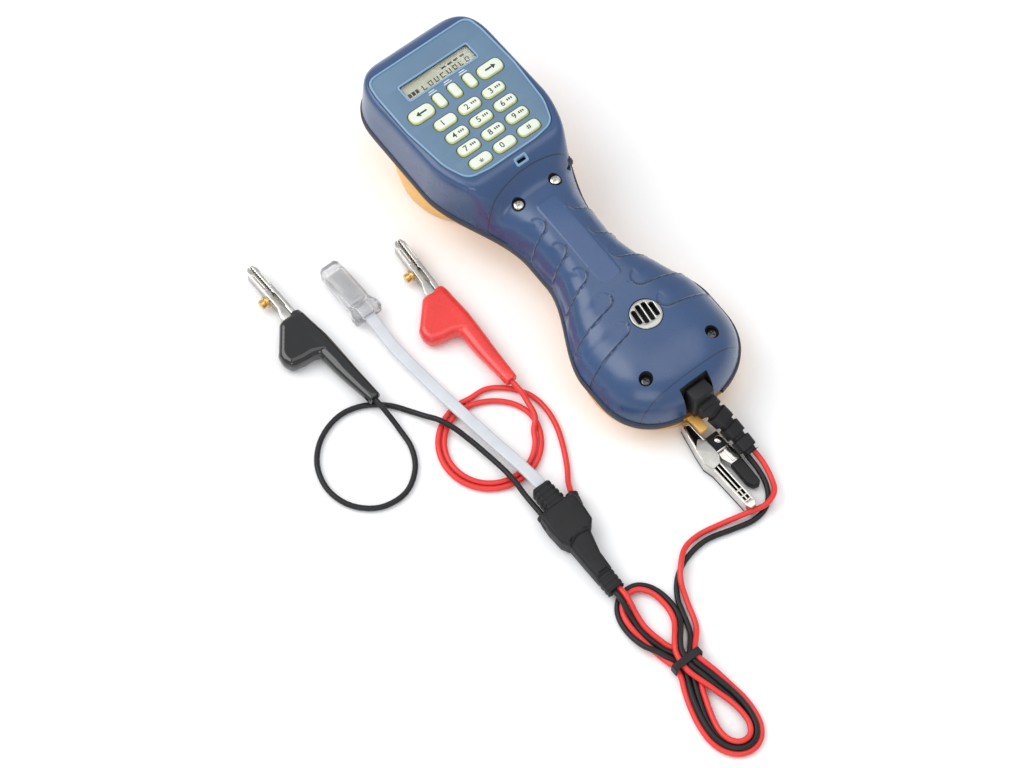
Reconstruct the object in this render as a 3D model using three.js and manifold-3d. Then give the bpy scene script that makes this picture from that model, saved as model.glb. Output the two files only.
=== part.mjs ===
// A telephone line technician's test handset, lying face up, with its belt clip and its cord set.
// Millimetres, +Z up, +Y towards the head. Everything is drawn with y = 0 near the handset's tail,
// and the exported group moves that to the middle of the handset and its belt clip.
import * as THREE from "three";
import { ParametricGeometry } from "three/addons/geometries/ParametricGeometry.js";
import { mergeVertices } from "three/addons/utils/BufferGeometryUtils.js";
import Module from "manifold-3d";

const wasm = await Module();
wasm.setup();

// ---- Driving dimensions ----

const GAP = 0.3; // between pieces that touch

// Housing
const TAIL_END = 11;
const HEAD_END = 262;
const HEAD_WIDTH = 82;
const HANDLE_WIDTH = 44;
const TAIL_WIDTH = 83;
const FACE_HEIGHT = 62;
const SEAM_AT_TAIL = 16;
const SEAM_SLOPE = 0.085;
const SEAM_BAND = 4.6;
const SEAM_LIP = 0.8;
const HANDLE_DEPTH = 10; // of the rear shell below the seam
const SHELL_SHRINK = { x: 0.92, y: 0.975, z: 0.9 }; // inside of a shell against its outside

// Cups that the handset rests on
const EAR_CUP = { y: 208, radius: 39.5, bottomRadius: 37 };
const MOUTH_CUP = { y: 51, radius: 40, bottomRadius: 37.5 };
const CUP_FLOOR = 2.5;

// Face plate, display and keys
const PLATE = { thickness: 1.6, top: 250.8, bottom: 168, topHalf: 33, midHalf: 35.5, lowHalf: 29 };
const WINDOW = { y: 231.8, width: 44.6, height: 10.2 };
const KEY_TOP = 63.4;
const KEY_FOOT = 58.6;
const KEY_CLEARANCE = 0.35;
const COLUMN_PITCH = 15.9;
const ROW_PITCH = 9.9;
const FIRST_ROW = 205;
const DIGIT_KEY = { width: 13.2, height: 6.8 };
const END_KEY = { x: 22.7, y: 216.6, width: 15, height: 8.6 };
const SOFT_KEY = { y: 217.4, pitch: 10, width: 5.6, height: 9.6 };

// Case screws, speaker, switch
const UPPER_SCREWS = { x: 12.1, y: 148.5, z: 48.2 };
const LOWER_SCREWS = { x: 21.8, y: 32.7, z: 36.5 };
const SCREW_HEAD = { radius: 2.8, height: 1.8 };
const SCREW_SHANK = { radius: 1.4, length: 20 };
const SPEAKER = { x: 0.8, y: 60.2, radius: 9 };
const SWITCH = { inner: 24, outer: 29.2, y: 158, z: 42, length: 8, height: 4, travel: 2 };

// Cords
const CORD = 3; // diameter of the single leads
const FLAT_CORD = { width: 6.6, thickness: 2.4 };
const COIL = { x: -94.5, y: 68.5, radius: 25 };

// Clips
const CLIP_TIP = -44; // end of the belt clip's nose
const ORIGIN_Y = (CLIP_TIP + HEAD_END) / 2;

// ---- Materials ----

const finish = (color, roughness, metalness = 0) =>
  new THREE.MeshStandardMaterial({ color, roughness, metalness });
const MATERIAL = {
  blue: finish(0x3c5a91, 0.4),
  plate: finish(0x6e8caf, 0.45),
  seam: finish(0x32323f, 0.6),
  amber: finish(0xe8a944, 0.5),
  key: finish(0xe1e4cd, 0.45),
  glass: finish(0xbebea5, 0.15),
  board: finish(0x2f6b3c, 0.6),
  black: finish(0x2b2b2d, 0.55),
  nickel: finish(0xc9c6c0, 0.25, 1),
  brass: finish(0xc79a4b, 0.3, 1),
  red: finish(0xe04a45, 0.45),
  silver: finish(0xd4d9e2, 0.35),
  clear: finish(0xdfe0e2, 0.1),
};

// ---- Solids ----

const point = (x, y) => new THREE.Vector2(x, y);
const place = (x, y, z) => new THREE.Vector3(x, y, z);

// A closed three.js geometry as a solid. Triangles that have shrunk to a line are dropped.
function solid(geometry) {
  const bare = new THREE.BufferGeometry();
  const source = geometry.index ? geometry.toNonIndexed() : geometry;
  bare.setAttribute("position", source.getAttribute("position"));
  const merged = mergeVertices(bare, 1e-3);
  const index = merged.index.array;
  const triangles = [];
  for (let i = 0; i < index.length; i += 3) {
    const [a, b, c] = index.subarray(i, i + 3);
    if (a !== b && b !== c && c !== a) triangles.push(a, b, c);
  }
  return new wasm.Manifold(
    new wasm.Mesh({
      numProp: 3,
      vertProperties: merged.attributes.position.array,
      triVerts: new Uint32Array(triangles),
    }),
  );
}

function geometryOf(manifold) {
  const mesh = manifold.getMesh();
  const geometry = new THREE.BufferGeometry();
  const positions = new THREE.BufferAttribute(new Float32Array(mesh.vertProperties), 3);
  geometry.setAttribute("position", positions);
  geometry.setIndex(new THREE.BufferAttribute(new Uint32Array(mesh.triVerts), 1));
  geometry.computeVertexNormals();
  return geometry;
}

function box(x0, x1, y0, y1, z0, z1) {
  const geometry = new THREE.BoxGeometry(x1 - x0, y1 - y0, z1 - z0);
  geometry.translate((x0 + x1) / 2, (y0 + y1) / 2, (z0 + z1) / 2);
  return solid(geometry);
}

// An upright round bar.
function post(x, y, z0, z1, radius, sides = 16) {
  const geometry = new THREE.CylinderGeometry(radius, radius, z1 - z0, sides);
  geometry.rotateX(Math.PI / 2).translate(x, y, (z0 + z1) / 2);
  return solid(geometry);
}

// A flat shape seen from above, raised from z0 to z1.
function slab(shape, z0, z1, curveSegments = 3) {
  const geometry = new THREE.ExtrudeGeometry(shape, {
    depth: z1 - z0,
    bevelEnabled: false,
    curveSegments,
  });
  geometry.translate(0, 0, z0);
  return solid(geometry);
}

// A rectangle with round corners.
function roundedRectangle(x, y, width, height, radius) {
  const shape = new THREE.Shape();
  const right = x + width / 2 - radius;
  const left = x - width / 2 + radius;
  const top = y + height / 2 - radius;
  const bottom = y - height / 2 + radius;
  shape.absarc(right, top, radius, 0, Math.PI / 2);
  shape.absarc(left, top, radius, Math.PI / 2, Math.PI);
  shape.absarc(left, bottom, radius, Math.PI, 1.5 * Math.PI);
  shape.absarc(right, bottom, radius, 1.5 * Math.PI, 2 * Math.PI);
  return shape;
}

const pill = (x, y, width, height) =>
  roundedRectangle(x, y, width, height, Math.min(width, height) / 2 - 0.1);

const polygon = (...corners) => new THREE.Shape(corners.map(([x, y]) => point(x, y)));

// A tube of even section along a smooth curve through the points.
function tube(points, radius, sides = 8, steps = points.length * 2) {
  const curve = new THREE.CatmullRomCurve3(points.map((p) => place(...p)), false, "centripetal");
  const section = new THREE.Shape();
  section.absarc(0, 0, radius, 0, 2 * Math.PI);
  const geometry = new THREE.ExtrudeGeometry(section, {
    steps,
    bevelEnabled: false,
    extrudePath: curve,
    curveSegments: sides / 2,
  });
  return solid(geometry);
}

// A closed skin: section(along, around) gives its points, and both ends close to a point.
function loft(section, around, along) {
  const geometry = new ParametricGeometry(
    (u, v, target) => target.copy(section(v, u === 1 ? 0 : u)),
    around,
    along,
  );
  const made = solid(geometry);
  if (made.volume() > 0) return made;
  const index = geometry.index.array;
  for (let i = 0; i < index.length; i += 3) [index[i], index[i + 1]] = [index[i + 1], index[i]];
  return solid(geometry);
}

// ---- Housing form ----

const ease = (from, to, x) => THREE.MathUtils.smoothstep(x, from, to);

// 1 up to `from`, then falling to 0 at `to` along a rounded end.
function roundEnd(y, from, to, power) {
  const t = THREE.MathUtils.clamp((y - from) / (to - from), 0, 1);
  return Math.pow(1 - Math.pow(t, power), 1 / power);
}

const seamHeight = (y) => SEAM_AT_TAIL + SEAM_SLOPE * (y - TAIL_END);

function halfWidth(y) {
  const handle = HANDLE_WIDTH / 2;
  const tail = (TAIL_WIDTH / 2 - handle) * (1 - ease(57, 112, y));
  const head = (HEAD_WIDTH / 2 - handle) * ease(127, 192, y);
  return (handle + tail + head) * roundEnd(y, 45, TAIL_END, 2.3) * roundEnd(y, 232, HEAD_END, 3);
}

// Height of the upper shell above the seam.
function crown(y) {
  const handleTop = 43 + 7 * ease(60, 140, y);
  const top = handleTop + (FACE_HEIGHT - handleTop) * ease(149, 167, y);
  return (top - seamHeight(y)) * roundEnd(y, 45, TAIL_END, 2.6) * roundEnd(y, 242, HEAD_END, 3.5);
}

const depth = (y) => HANDLE_DEPTH * roundEnd(y, 45, TAIL_END, 2.6) * roundEnd(y, 236, HEAD_END, 5);

// Sections of the housing, closer together where its form turns.
const STATIONS = [
  TAIL_END, 12, 14, 18, 24, 32, 43, 56, 66, 78, 90, 102, 114, 127, 140, 148, 152, 156, 160, 164, 168, 180,
  192, 212, 234, 244, 250, 255, 258, 260.5, HEAD_END,
];

// One half of the housing: side = 1 above the seam, -1 below it.
function housing(side, shrink, around) {
  const middle = (TAIL_END + HEAD_END) / 2;
  const archShare = 0.8; // of the way round, the rest is the flat face at the seam
  const scale = shrink ?? { x: 1, y: 1, z: 1 };
  return loft(
    (v, u) => {
      const y = STATIONS[Math.round(v * (STATIONS.length - 1))];
      const square = 3 + 15 * ease(150, 172, y);
      const lean = 0.13 - 0.06 * ease(150, 172, y);
      const angle = (Math.PI * Math.min(u, archShare)) / archShare;
      const across = Math.sign(Math.cos(angle)) * Math.pow(Math.abs(Math.cos(angle)), 2 / square);
      const up = Math.pow(Math.max(Math.sin(angle), 0), 2 / square);
      const rise = side > 0 ? crown(y) : depth(y);
      const closing = u > archShare ? (u - archShare) / (1 - archShare) : 0;
      const base = shrink ? -side * Math.min(4, rise) : 0; // a hollow runs on past the seam
      const x = halfWidth(y) * (across + 2 * closing) * (1 - lean * up);
      const lift = base + (side * rise * scale.z - base) * up;
      return place(x * scale.x, middle + (y - middle) * scale.y, seamHeight(y) + lift);
    },
    around,
    STATIONS.length - 1,
  );
}

// The housing's outline seen from above, scaled about its middle and grown by a lip.
function outline(scale, lip) {
  const middle = (TAIL_END + HEAD_END) / 2;
  const reach = (HEAD_END - TAIL_END) / 2;
  const stretch = (reach * scale + lip) / reach;
  const right = STATIONS.slice(1, -1).map((y) => [
    halfWidth(y) * scale + lip,
    middle + (y - middle) * stretch,
  ]);
  return polygon(...mirrored(right));
}

// A slab across the whole housing between two heights measured from the sloping seam.
function seamSlab(low, high) {
  const ends = [TAIL_END - 10, HEAD_END + 10];
  const side = polygon(
    [ends[0], seamHeight(ends[0]) + low],
    [ends[1], seamHeight(ends[1]) + low],
    [ends[1], seamHeight(ends[1]) + high],
    [ends[0], seamHeight(ends[0]) + high],
  );
  const geometry = new THREE.ExtrudeGeometry(side, { depth: 120, bevelEnabled: false });
  geometry.translate(0, 0, -60);
  geometry.rotateY(Math.PI / 2).rotateX(Math.PI / 2);
  return solid(geometry);
}

// A round cup with a rounded lower edge.
function cup({ y, radius, bottomRadius }, top, sides = 28) {
  const profile = [
    point(0, 0),
    point(bottomRadius - 1.5, 0),
    point(bottomRadius, 1.5),
    point(radius, 12),
    point(radius, top),
    point(0, top),
  ];
  const geometry = new THREE.LatheGeometry(profile, sides);
  geometry.rotateX(Math.PI / 2).translate(0, y, 0);
  return solid(geometry);
}

// ---- Face layout ----

const mirrored = (halfPoints) => [...halfPoints, ...halfPoints.map(([x, y]) => [-x, y]).reverse()];

function plateShape(grow) {
  const { top, bottom, topHalf, midHalf, lowHalf } = PLATE;
  const right = [
    [lowHalf - 9, bottom - grow],
    [lowHalf + grow, bottom + 6],
    [lowHalf + 4.6 + grow, bottom + 16],
    [midHalf + 0.8 + grow, bottom + 46],
    [topHalf + 1.6 + grow, top - 8],
    [topHalf - 1 + grow, top - 2.6 + grow / 2],
    [topHalf - 6, top + grow],
  ];
  return polygon(...mirrored(right));
}

const LEGENDS = ["1", "2", "3", "4", "5", "6", "7", "8", "9", "star", "0", "hash"];

function keyLayout() {
  const keys = LEGENDS.map((legend, i) => ({
    name: "key_" + legend,
    x: ((i % 3) - 1) * COLUMN_PITCH,
    y: FIRST_ROW - Math.floor(i / 3) * ROW_PITCH,
    ...DIGIT_KEY,
  }));
  keys.push({ name: "key_recall", x: -END_KEY.x, y: END_KEY.y, ...pick(END_KEY) });
  keys.push({ name: "key_line", x: END_KEY.x, y: END_KEY.y, ...pick(END_KEY) });
  for (const side of [-1, 0, 1]) {
    const name = "soft_key_" + (side + 2);
    keys.push({ name, x: side * SOFT_KEY.pitch, y: SOFT_KEY.y, ...pick(SOFT_KEY) });
  }
  return keys;
}

function pick({ width, height }) {
  return { width, height };
}

const keySlab = (key, grow, z0, z1) =>
  slab(pill(key.x, key.y, key.width + 2 * grow, key.height + 2 * grow), z0, z1, 1);

const bothSides = ({ x, y, z }) => [
  { x: -x, y, z },
  { x, y, z },
];
const CASE_SCREWS = [...bothSides(UPPER_SCREWS), ...bothSides(LOWER_SCREWS)];

// ---- Handset pieces ----

function upperShell() {
  const inside = housing(1, null, 21).intersect(seamSlab(SEAM_BAND / 2 + GAP, 80));
  let shell = inside.subtract(housing(1, SHELL_SHRINK, 13));
  for (const { x, y, z } of CASE_SCREWS) {
    shell = shell.add(post(x, y, seamHeight(y) + SEAM_BAND, z + 6, 4.2, 12).intersect(inside));
  }
  for (const { x, y, z } of CASE_SCREWS) {
    shell = shell.subtract(post(x, y, z - SCREW_HEAD.height - GAP, 70, 3.2, 12));
    shell = shell.subtract(post(x, y, 0, z, 1.8, 8));
  }
  const pocket = FACE_HEIGHT - PLATE.thickness - GAP;
  shell = shell.subtract(slab(plateShape(GAP), pocket, 70));
  shell = shell.subtract(box(-31, 31, 171, 241, 30, 70));
  shell = shell.subtract(post(SPEAKER.x, SPEAKER.y, 30, 60, SPEAKER.radius + GAP, 20));
  shell = shell.subtract(box(-7.4, 7.4, 0, 24, 0, 60));
  const { y, z, length, height, travel } = SWITCH;
  const slot = length / 2 + travel + GAP;
  return shell.subtract(box(20, 45, y - slot, y + slot, z - height / 2 - GAP, z + height / 2 + GAP));
}

function facePlate() {
  const z0 = FACE_HEIGHT - PLATE.thickness;
  let plate = slab(plateShape(0), z0, FACE_HEIGHT);
  for (const key of keyLayout()) plate = plate.subtract(keySlab(key, KEY_CLEARANCE, 50, 70));
  return plate.subtract(slab(roundedRectangle(0, WINDOW.y, WINDOW.width, WINDOW.height, 0.8), 50, 70));
}

// The moulded bar at the tail that the belt clip grips.
function clipTab() {
  return box(-8.6, -3, 1.6, 14, 6, 11).add(box(-8.6, -3, 8.4, 14, 3, 11));
}

function rearShell() {
  const under = (y) => seamHeight(y) - SEAM_BAND / 2 - GAP;
  const cups = cup(EAR_CUP, 45).add(cup(MOUTH_CUP, 45));
  const below = seamSlab(-60, -SEAM_BAND / 2 - GAP);
  const hollow = post(0, EAR_CUP.y, CUP_FLOOR, 50, EAR_CUP.bottomRadius - 2.5, 24)
    .add(post(0, MOUTH_CUP.y, CUP_FLOOR, 50, MOUTH_CUP.bottomRadius - 2.5, 24));
  let shell = housing(-1, null, 17).add(cups).intersect(below);
  shell = shell.subtract(hollow).subtract(housing(-1, SHELL_SHRINK, 13));
  for (const { x, y } of CASE_SCREWS) {
    shell = shell.add(post(x, y, y > 100 ? under(y) - 7 : 1, under(y), 3.6, 10));
    shell = shell.subtract(post(x, y, under(y) - 6, 40, 1.8, 8));
  }
  shell = shell.subtract(box(-7.4, 7.4, 0, 24, 13.5, 40));
  for (const { y, ring } of [{ y: EAR_CUP.y, ring: 7 }, { y: MOUTH_CUP.y, ring: 5 }]) {
    shell = shell.subtract(post(0, y, -1, 4, 1.2, 6));
    for (let i = 0; i < 6; i++) {
      const turn = (i * Math.PI) / 3;
      shell = shell.subtract(post(ring * Math.cos(turn), y + ring * Math.sin(turn), -1, 4, 1.2, 6));
    }
  }
  return shell.add(clipTab());
}

function seamGasket() {
  const ring = slab(outline(1, SEAM_LIP), 0, 60).subtract(slab(outline(0.9, 0), -1, 61));
  return ring.intersect(seamSlab(-SEAM_BAND / 2, SEAM_BAND / 2)).subtract(box(-7.4, 7.4, 0, 24, 0, 60));
}

function speakerGrille() {
  const { x, y, radius } = SPEAKER;
  let grille = post(x, y, 40.5, 43.2, radius, 20);
  for (const side of [-1.5, -0.5, 0.5, 1.5]) {
    const reach = 6.8 - Math.abs(side) * 1.2;
    const slot = box(-1, 1, -reach, reach, 30, 50).rotate([0, 0, -8]).translate([x + side * 3.9, y, 0]);
    grille = grille.subtract(slot);
  }
  return grille;
}

function caseScrew({ x, y, z }) {
  const { radius, height } = SCREW_HEAD;
  const cross = box(-0.45, 0.45, -1.9, 1.9, -0.9, 1).add(box(-1.9, 1.9, -0.45, 0.45, -0.9, 1));
  const head = post(x, y, z - height, z, radius, 14).subtract(cross.translate([x, y, z]));
  return head.add(post(x, y, z - SCREW_SHANK.length, z - height + 0.1, SCREW_SHANK.radius, 8));
}

function strainRelief() {
  const route = [
    [0, 16, 25],
    [1.2, 8, 22],
    [3.2, 0, 17],
    [4.8, -9, 11.5],
    [5.3, -20, 7],
  ];
  const curve = new THREE.CatmullRomCurve3(route.map((p) => place(...p)));
  const steps = 10;
  const sleeve = loft(
    (v, u) => {
      const along = THREE.MathUtils.clamp((v * (steps + 2) - 1) / steps, 0, 1);
      const centre = curve.getPointAt(along);
      const forward = curve.getTangentAt(along);
      const side = place(1, 0, 0).cross(forward).normalize();
      const other = side.clone().cross(forward);
      const radius = v === 0 || v === 1 ? 0 : 5.4 - 1.8 * along;
      const angle = 2 * Math.PI * u;
      centre.addScaledVector(side, radius * Math.sin(angle));
      return centre.addScaledVector(other, radius * Math.cos(angle));
    },
    12,
    steps + 2,
  );
  return sleeve.add(box(-6.9, 6.9, 8.5, 23.4, 15, 32.5));
}

// ---- Belt clip ----

function clipFixedJaw() {
  const jaw = polygon(
    [-15, 9.6],
    [-9.2, 9.6],
    [-9.2, -13],
    [-12.2, -17],
    [-12.2, -41.5],
    [-13.2, CLIP_TIP],
    [-15.6, CLIP_TIP],
    [-16.4, -41],
    [-17, -14],
    [-18, -8],
  );
  const channel = polygon(
    [-13.6, 11],
    [-10.6, 11],
    [-10.6, -12],
    [-13.6, -17],
    [-13.6, -40],
    [-14.8, -40],
    [-15.4, -15],
    [-16.4, -8],
  );
  const foot = box(-10, -1, -9, -2, 0.4, 1.1);
  const pin = post(CLIP_PIVOT.x, CLIP_PIVOT.y, 0.5, 6, 1.15, 10);
  const pinHead = post(CLIP_PIVOT.x, CLIP_PIVOT.y, 5.4, 6.6, 2.2, 12);
  return slab(jaw, 0.5, 9.5).subtract(slab(channel, 2, 12)).add(foot).add(pin).add(pinHead);
}

const CLIP_PIVOT = { x: -3, y: -5 };

// The sprung lever, with a vinyl-dipped end.
function clipLever() {
  const arm = polygon([-6, -1.5], [0, -1.5], [0, -8], [1, -16], [0.4, -20], [-6, -20], [-8.2, -14]);
  const dip = polygon([-6.6, -19], [0.4, -19], [-0.4, -35], [-2.4, -37], [-5.6, -36], [-7.2, -32]);
  const hole = post(CLIP_PIVOT.x, CLIP_PIVOT.y, -1, 12, 1.5, 12);
  return slab(arm, 1.4, 5).subtract(hole).add(slab(dip, 1, 5.6));
}

// ---- Lead clips ----

// A lead clip points along +Y from its pivot, with its fixed side at +X.
const LEAD_CLIPS = [
  { name: "black", x: -131.9, y: 184.3, turn: 1, material: "black" },
  { name: "red", x: -64.5, y: 149, turn: -4.2, material: "red" },
];

const JAW = { low: 2.6, high: 9.2 };
const BOOT = { low: 0.5, high: 11.3 };
const THUMB_SCREW = { y: 20, z: 5.9 };

function bootBody() {
  const shape = polygon(
    [5.2, 4.6],
    [-1.5, 4.8],
    [-3, 0],
    [-3.4, -24],
    [-3.6, -34],
    [-1.6, -57],
    [-0.6, -61],
    [7.6, -62],
    [8, -56],
    [8.2, -34],
    [7.4, -12],
    [6.2, 2],
  );
  const inside = box(-4, 3.4, -7, 6, 2.2, 9.6);
  const underTail = box(-10, 12, -70, -44, 0, 3.7);
  return slab(shape, BOOT.low, BOOT.high).subtract(inside).subtract(underTail);
}

function bootFin() {
  const shape = polygon(
    [-5, 4.4],
    [-8.6, 3.6],
    [-20.4, -11],
    [-20.8, -15],
    [-19, -20.6],
    [-12, -22.4],
    [-8.6, -22.6],
    [-6.4, -8],
  );
  return slab(shape, BOOT.low, BOOT.high);
}

function fixedJaw() {
  const shape = polygon(
    [0.3, -6],
    [2.9, -6],
    [2.9, 38],
    [1.6, 40.6],
    [0.3, 40.6],
    [0.3, 21],
    [1, 20],
    [1, 11],
    [0.3, 10],
  );
  return slab(shape, JAW.low, JAW.high);
}

// The moving jaw reaches back as the lever inside the fin.
function movingJaw() {
  const shape = polygon(
    [-0.3, 1],
    [-0.3, 10],
    [-1, 11],
    [-1, 20],
    [-0.3, 21],
    [-0.3, 40.6],
    [-1.6, 40.6],
    [-3.4, 38],
    [-3.4, 12],
    [-5.6, 6],
    [-4.6, 4.7],
    [-4.6, 1],
  );
  const bore = box(-8, 0.5, 18.6, 21.4, 4.5, 7.3);
  return slab(shape, JAW.low, JAW.high).subtract(bore);
}

// A knurled screw that goes into the moving jaw from its outer side.
function thumbScrew() {
  const head = new THREE.CylinderGeometry(3.1, 3.1, 4.6, 16);
  const neck = new THREE.CylinderGeometry(1.1, 1.1, 5.5, 10);
  head.rotateZ(Math.PI / 2).translate(-6.4, 0, 0);
  neck.rotateZ(Math.PI / 2).translate(-3.4, 0, 0);
  return solid(head).add(solid(neck));
}

// ---- Cord set ----

function splitter() {
  const body = polygon(
    [-95.2, 31],
    [-86, 31],
    [-85.2, 18],
    [-80.4, 17.6],
    [-79, 12],
    [-84, -6],
    [-90.4, -24],
    [-91.6, -36],
    [-100.4, -36],
    [-100.2, -24],
    [-103.4, 0],
    [-105, 10],
    [-103, 16.4],
    [-97.4, 17.4],
  );
  return slab(body, 1, 12.6).subtract(box(-110, -70, -40, -20, 9.6, 20));
}

const MAIN_ROUTE = {
  red: [
    [6.8, -21, 7.4],
    [7, -28, 5.6],
    [5.2, -37, 4],
    [1, -44.6, 5],
    [-7, -47.6, 5.4],
    [-17, -45.2, 4.4],
    [-30, -41, 1.8],
    [-44, -38.4, 1.8],
    [-54, -40, 3.8],
    [-61.5, -45.4, 5.4],
    [-68, -53, 4.8],
    [-72, -63, 1.9],
    [-76, -75, 1.9],
  ],
  black: [
    [3.4, -21, 5],
    [3.2, -30, 3],
    [1.4, -38, 1.8],
    [-2.6, -44.4, 1.8],
    [-8.6, -48.4, 1.8],
    [-17, -49.4, 1.8],
    [-28.5, -46.6, 1.8],
    [-42, -43, 1.8],
    [-52, -43.4, 1.8],
    [-61, -46, 1.8],
    [-68.6, -51, 1.8],
    [-74.6, -58.6, 1.8],
    [-76.4, -66, 1.8],
    [-79.6, -74, 1.8],
  ],
};

const mainCord = (name) => tube(MAIN_ROUTE[name], CORD / 2, 8, 22);

// The hank's outer shape: two long loops drawn in at the tie.
function hank() {
  const shape = new THREE.Shape();
  shape.absellipse(-92, -57, 14, 20.4, -0.25, Math.PI + 0.2);
  shape.lineTo(-99.5, -88);
  shape.absellipse(-97, -127, 13.5, 16, Math.PI - 0.3, 2 * Math.PI + 0.2);
  shape.lineTo(-87.5, -88);
  return slab(shape, 0.3, 7, 8);
}

const hankTie = () => box(-102, -84.6, -90, -86, 0.2, 8.4).subtract(box(-100.8, -85.8, -99, -80, 0, 7.3));

const FLAT_ROUTE = [
  [-99.6, 163, 5.6],
  [-100.6, 140, 5.4],
  [-99, 115, 5.4],
  [-96.6, 90, 5.6],
  [-93.8, 65, 5.8],
  [-91.4, 45, 6.2],
  [-90.6, 31.4, 6.6],
];

function flatCord() {
  const curve = new THREE.CatmullRomCurve3(FLAT_ROUTE.map((p) => place(...p)));
  const { width, thickness } = FLAT_CORD;
  const section = roundedRectangle(0, 0, thickness, width, thickness / 2 - 0.1);
  const geometry = new THREE.ExtrudeGeometry(section, {
    steps: 12,
    bevelEnabled: false,
    extrudePath: curve,
    curveSegments: 1,
  });
  return solid(geometry);
}

const BLACK_LEAD_ROUTE = [
  [-127.4, 121.6, 7.4],
  [-127, 114, 6.4],
  [-126.6, 103, 2.4],
  [-128, 91, 1.8],
  [-134, 80, 1.8],
  [-146, 72.4, 1.8],
  [-161, 74, 1.8],
  [-172, 84, 1.8],
  [-176, 98, 1.8],
  [-172, 113, 1.8],
  [-161, 124, 1.8],
  [-146, 128.6, 1.8],
  [-133, 125.6, 1.8],
  [-122, 117, 1.8],
  [-115.6, 107.6, 1.8],
  [-111.6, 100, 3.4],
  [-108.6, 93.8, 5.6],
  [-105.4, 86, 5.6],
  [-102.6, 76, 4],
  [-100.6, 64, 3.6],
  [-99.6, 52, 5],
  [-99.4, 46.5, 5.6],
  [-99.4, 40, 5.6],
  [-99.7, 33, 4.6],
  [-100.2, 18.2, 5.5],
];

const RED_LEAD_START = [
  [-65.7, 86.4, 7.4],
  [-65.2, 80.5, 7],
  [-64.4, 74, 4.4],
  [-64.4, 69, 2.2],
];
const RED_LEAD_END = [
  [-78, 94.6, 1.8],
  [-71.5, 90.4, 1.8],
  [-65.4, 84, 1.8],
  [-61, 76, 1.8],
  [-59.8, 66, 1.8],
  [-61.6, 55, 1.8],
  [-66, 44, 1.8],
  [-72, 33, 1.8],
  [-77.6, 25, 3],
  [-80.8, 18.3, 5.6],
];

function leadCoil() {
  const { x, y, radius } = COIL;
  const profile = [
    point(radius - 3.2, 0.3),
    point(radius + 3.2, 0.3),
    point(radius + 3.2, 3.7),
    point(radius - 3.2, 3.7),
    point(radius - 3.2, 0.3),
  ];
  const geometry = new THREE.LatheGeometry(profile, 32);
  geometry.rotateX(Math.PI / 2).translate(x, y, 0);
  return solid(geometry);
}

// ---- Modular plug in its clear boot ----

const PLUG = { x: -99.6, y0: 163.4, y1: 201, low: 0.8, high: 11 };

function plugBoot() {
  const { x, y0, y1, low, high } = PLUG;
  const tip = y1 - y0;
  const right = [
    [8.6, 0],
    [8.6, 5],
    [6.4, 10],
    [6.2, tip - 2],
    [4.6, tip],
  ];
  const shape = polygon(...mirrored(right));
  const inside = box(-5.2, 5.2, 6, 33, 1.6, 8.8).add(box(-3.7, 3.7, -1, 8, 3.2, 6.8));
  return slab(shape, 0, high - low).subtract(inside).translate([x, y0, low]);
}

function modularPlug() {
  const { x, y0, low } = PLUG;
  return box(-4.8, 4.8, 10, 32, 2, 8.4).translate([x, y0, low]);
}

// ---- Assembly ----

const handset = new THREE.Group();
handset.position.y = -ORIGIN_Y;

function add(name, manifold, material, group = handset) {
  const mesh = new THREE.Mesh(geometryOf(manifold), MATERIAL[material]);
  mesh.name = name;
  group.add(mesh);
  return mesh;
}

function addHousing() {
  add("upper_shell", upperShell(), "blue");
  add("face_plate", facePlate(), "plate");
  add("seam_gasket", seamGasket(), "seam");
  add("rear_shell", rearShell(), "amber");
  add("speaker_grille", speakerGrille(), "nickel");
  add("strain_relief", strainRelief(), "black");
  const names = ["upper_screw_left", "upper_screw_right", "lower_screw_left", "lower_screw_right"];
  names.forEach((name, i) => add(name, caseScrew(CASE_SCREWS[i]), i < 2 ? "nickel" : "black"));
}

function addFace() {
  const half = { x: WINDOW.width / 2 - GAP, y: WINDOW.height / 2 - GAP };
  add("display_window", box(-half.x, half.x, WINDOW.y - half.y, WINDOW.y + half.y, 60.3, 61.1), "glass");
  add("display_module", box(-25, 25, WINDOW.y - 7, WINDOW.y + 7, 56, 59.6), "black");
  add("keypad_mat", box(-30.4, 30.4, 171.5, 223, 55.9, 57.1), "black");
  for (const key of keyLayout()) add(key.name, keySlab(key, 0, KEY_FOOT, KEY_TOP), "key");
}

function addInside() {
  add("circuit_board", box(-30, 30, 172, 240, 52.6, 54.2), "board");
  add("ear_receiver", post(0, EAR_CUP.y, 3, 14, 16, 20), "black");
  add("microphone", post(0, MOUTH_CUP.y, 3, 9, 6, 14), "black");
  add("loudspeaker", post(SPEAKER.x, SPEAKER.y, 31, 38, 11, 18), "black");
  add("battery", box(-13.2, 13.2, 90, 138.5, 22, 38), "black");
}

function addSwitch() {
  const { inner, outer, y, z, length, height } = SWITCH;
  const cap = box(inner, outer, y - length / 2, y + length / 2, z - height / 2, z + height / 2);
  add("mode_switch", cap, "black");
}

function addBeltClip() {
  add("clip_fixed_jaw", clipFixedJaw(), "nickel");
  add("clip_lever", clipLever(), "nickel");
}

function addLeadClip({ name, x, y, turn, material }) {
  const clip = new THREE.Group();
  clip.position.set(x, y, 0);
  clip.rotation.z = THREE.MathUtils.degToRad(turn);
  handset.add(clip);
  add(name + "_boot", bootBody(), material, clip);
  add(name + "_boot_fin", bootFin(), material, clip);
  add(name + "_fixed_jaw", fixedJaw(), "nickel", clip);
  add(name + "_moving_jaw", movingJaw(), "nickel", clip);
  add(name + "_thumb_screw", thumbScrew(), "brass", clip).position.set(0, THUMB_SCREW.y, THUMB_SCREW.z);
}

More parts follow.
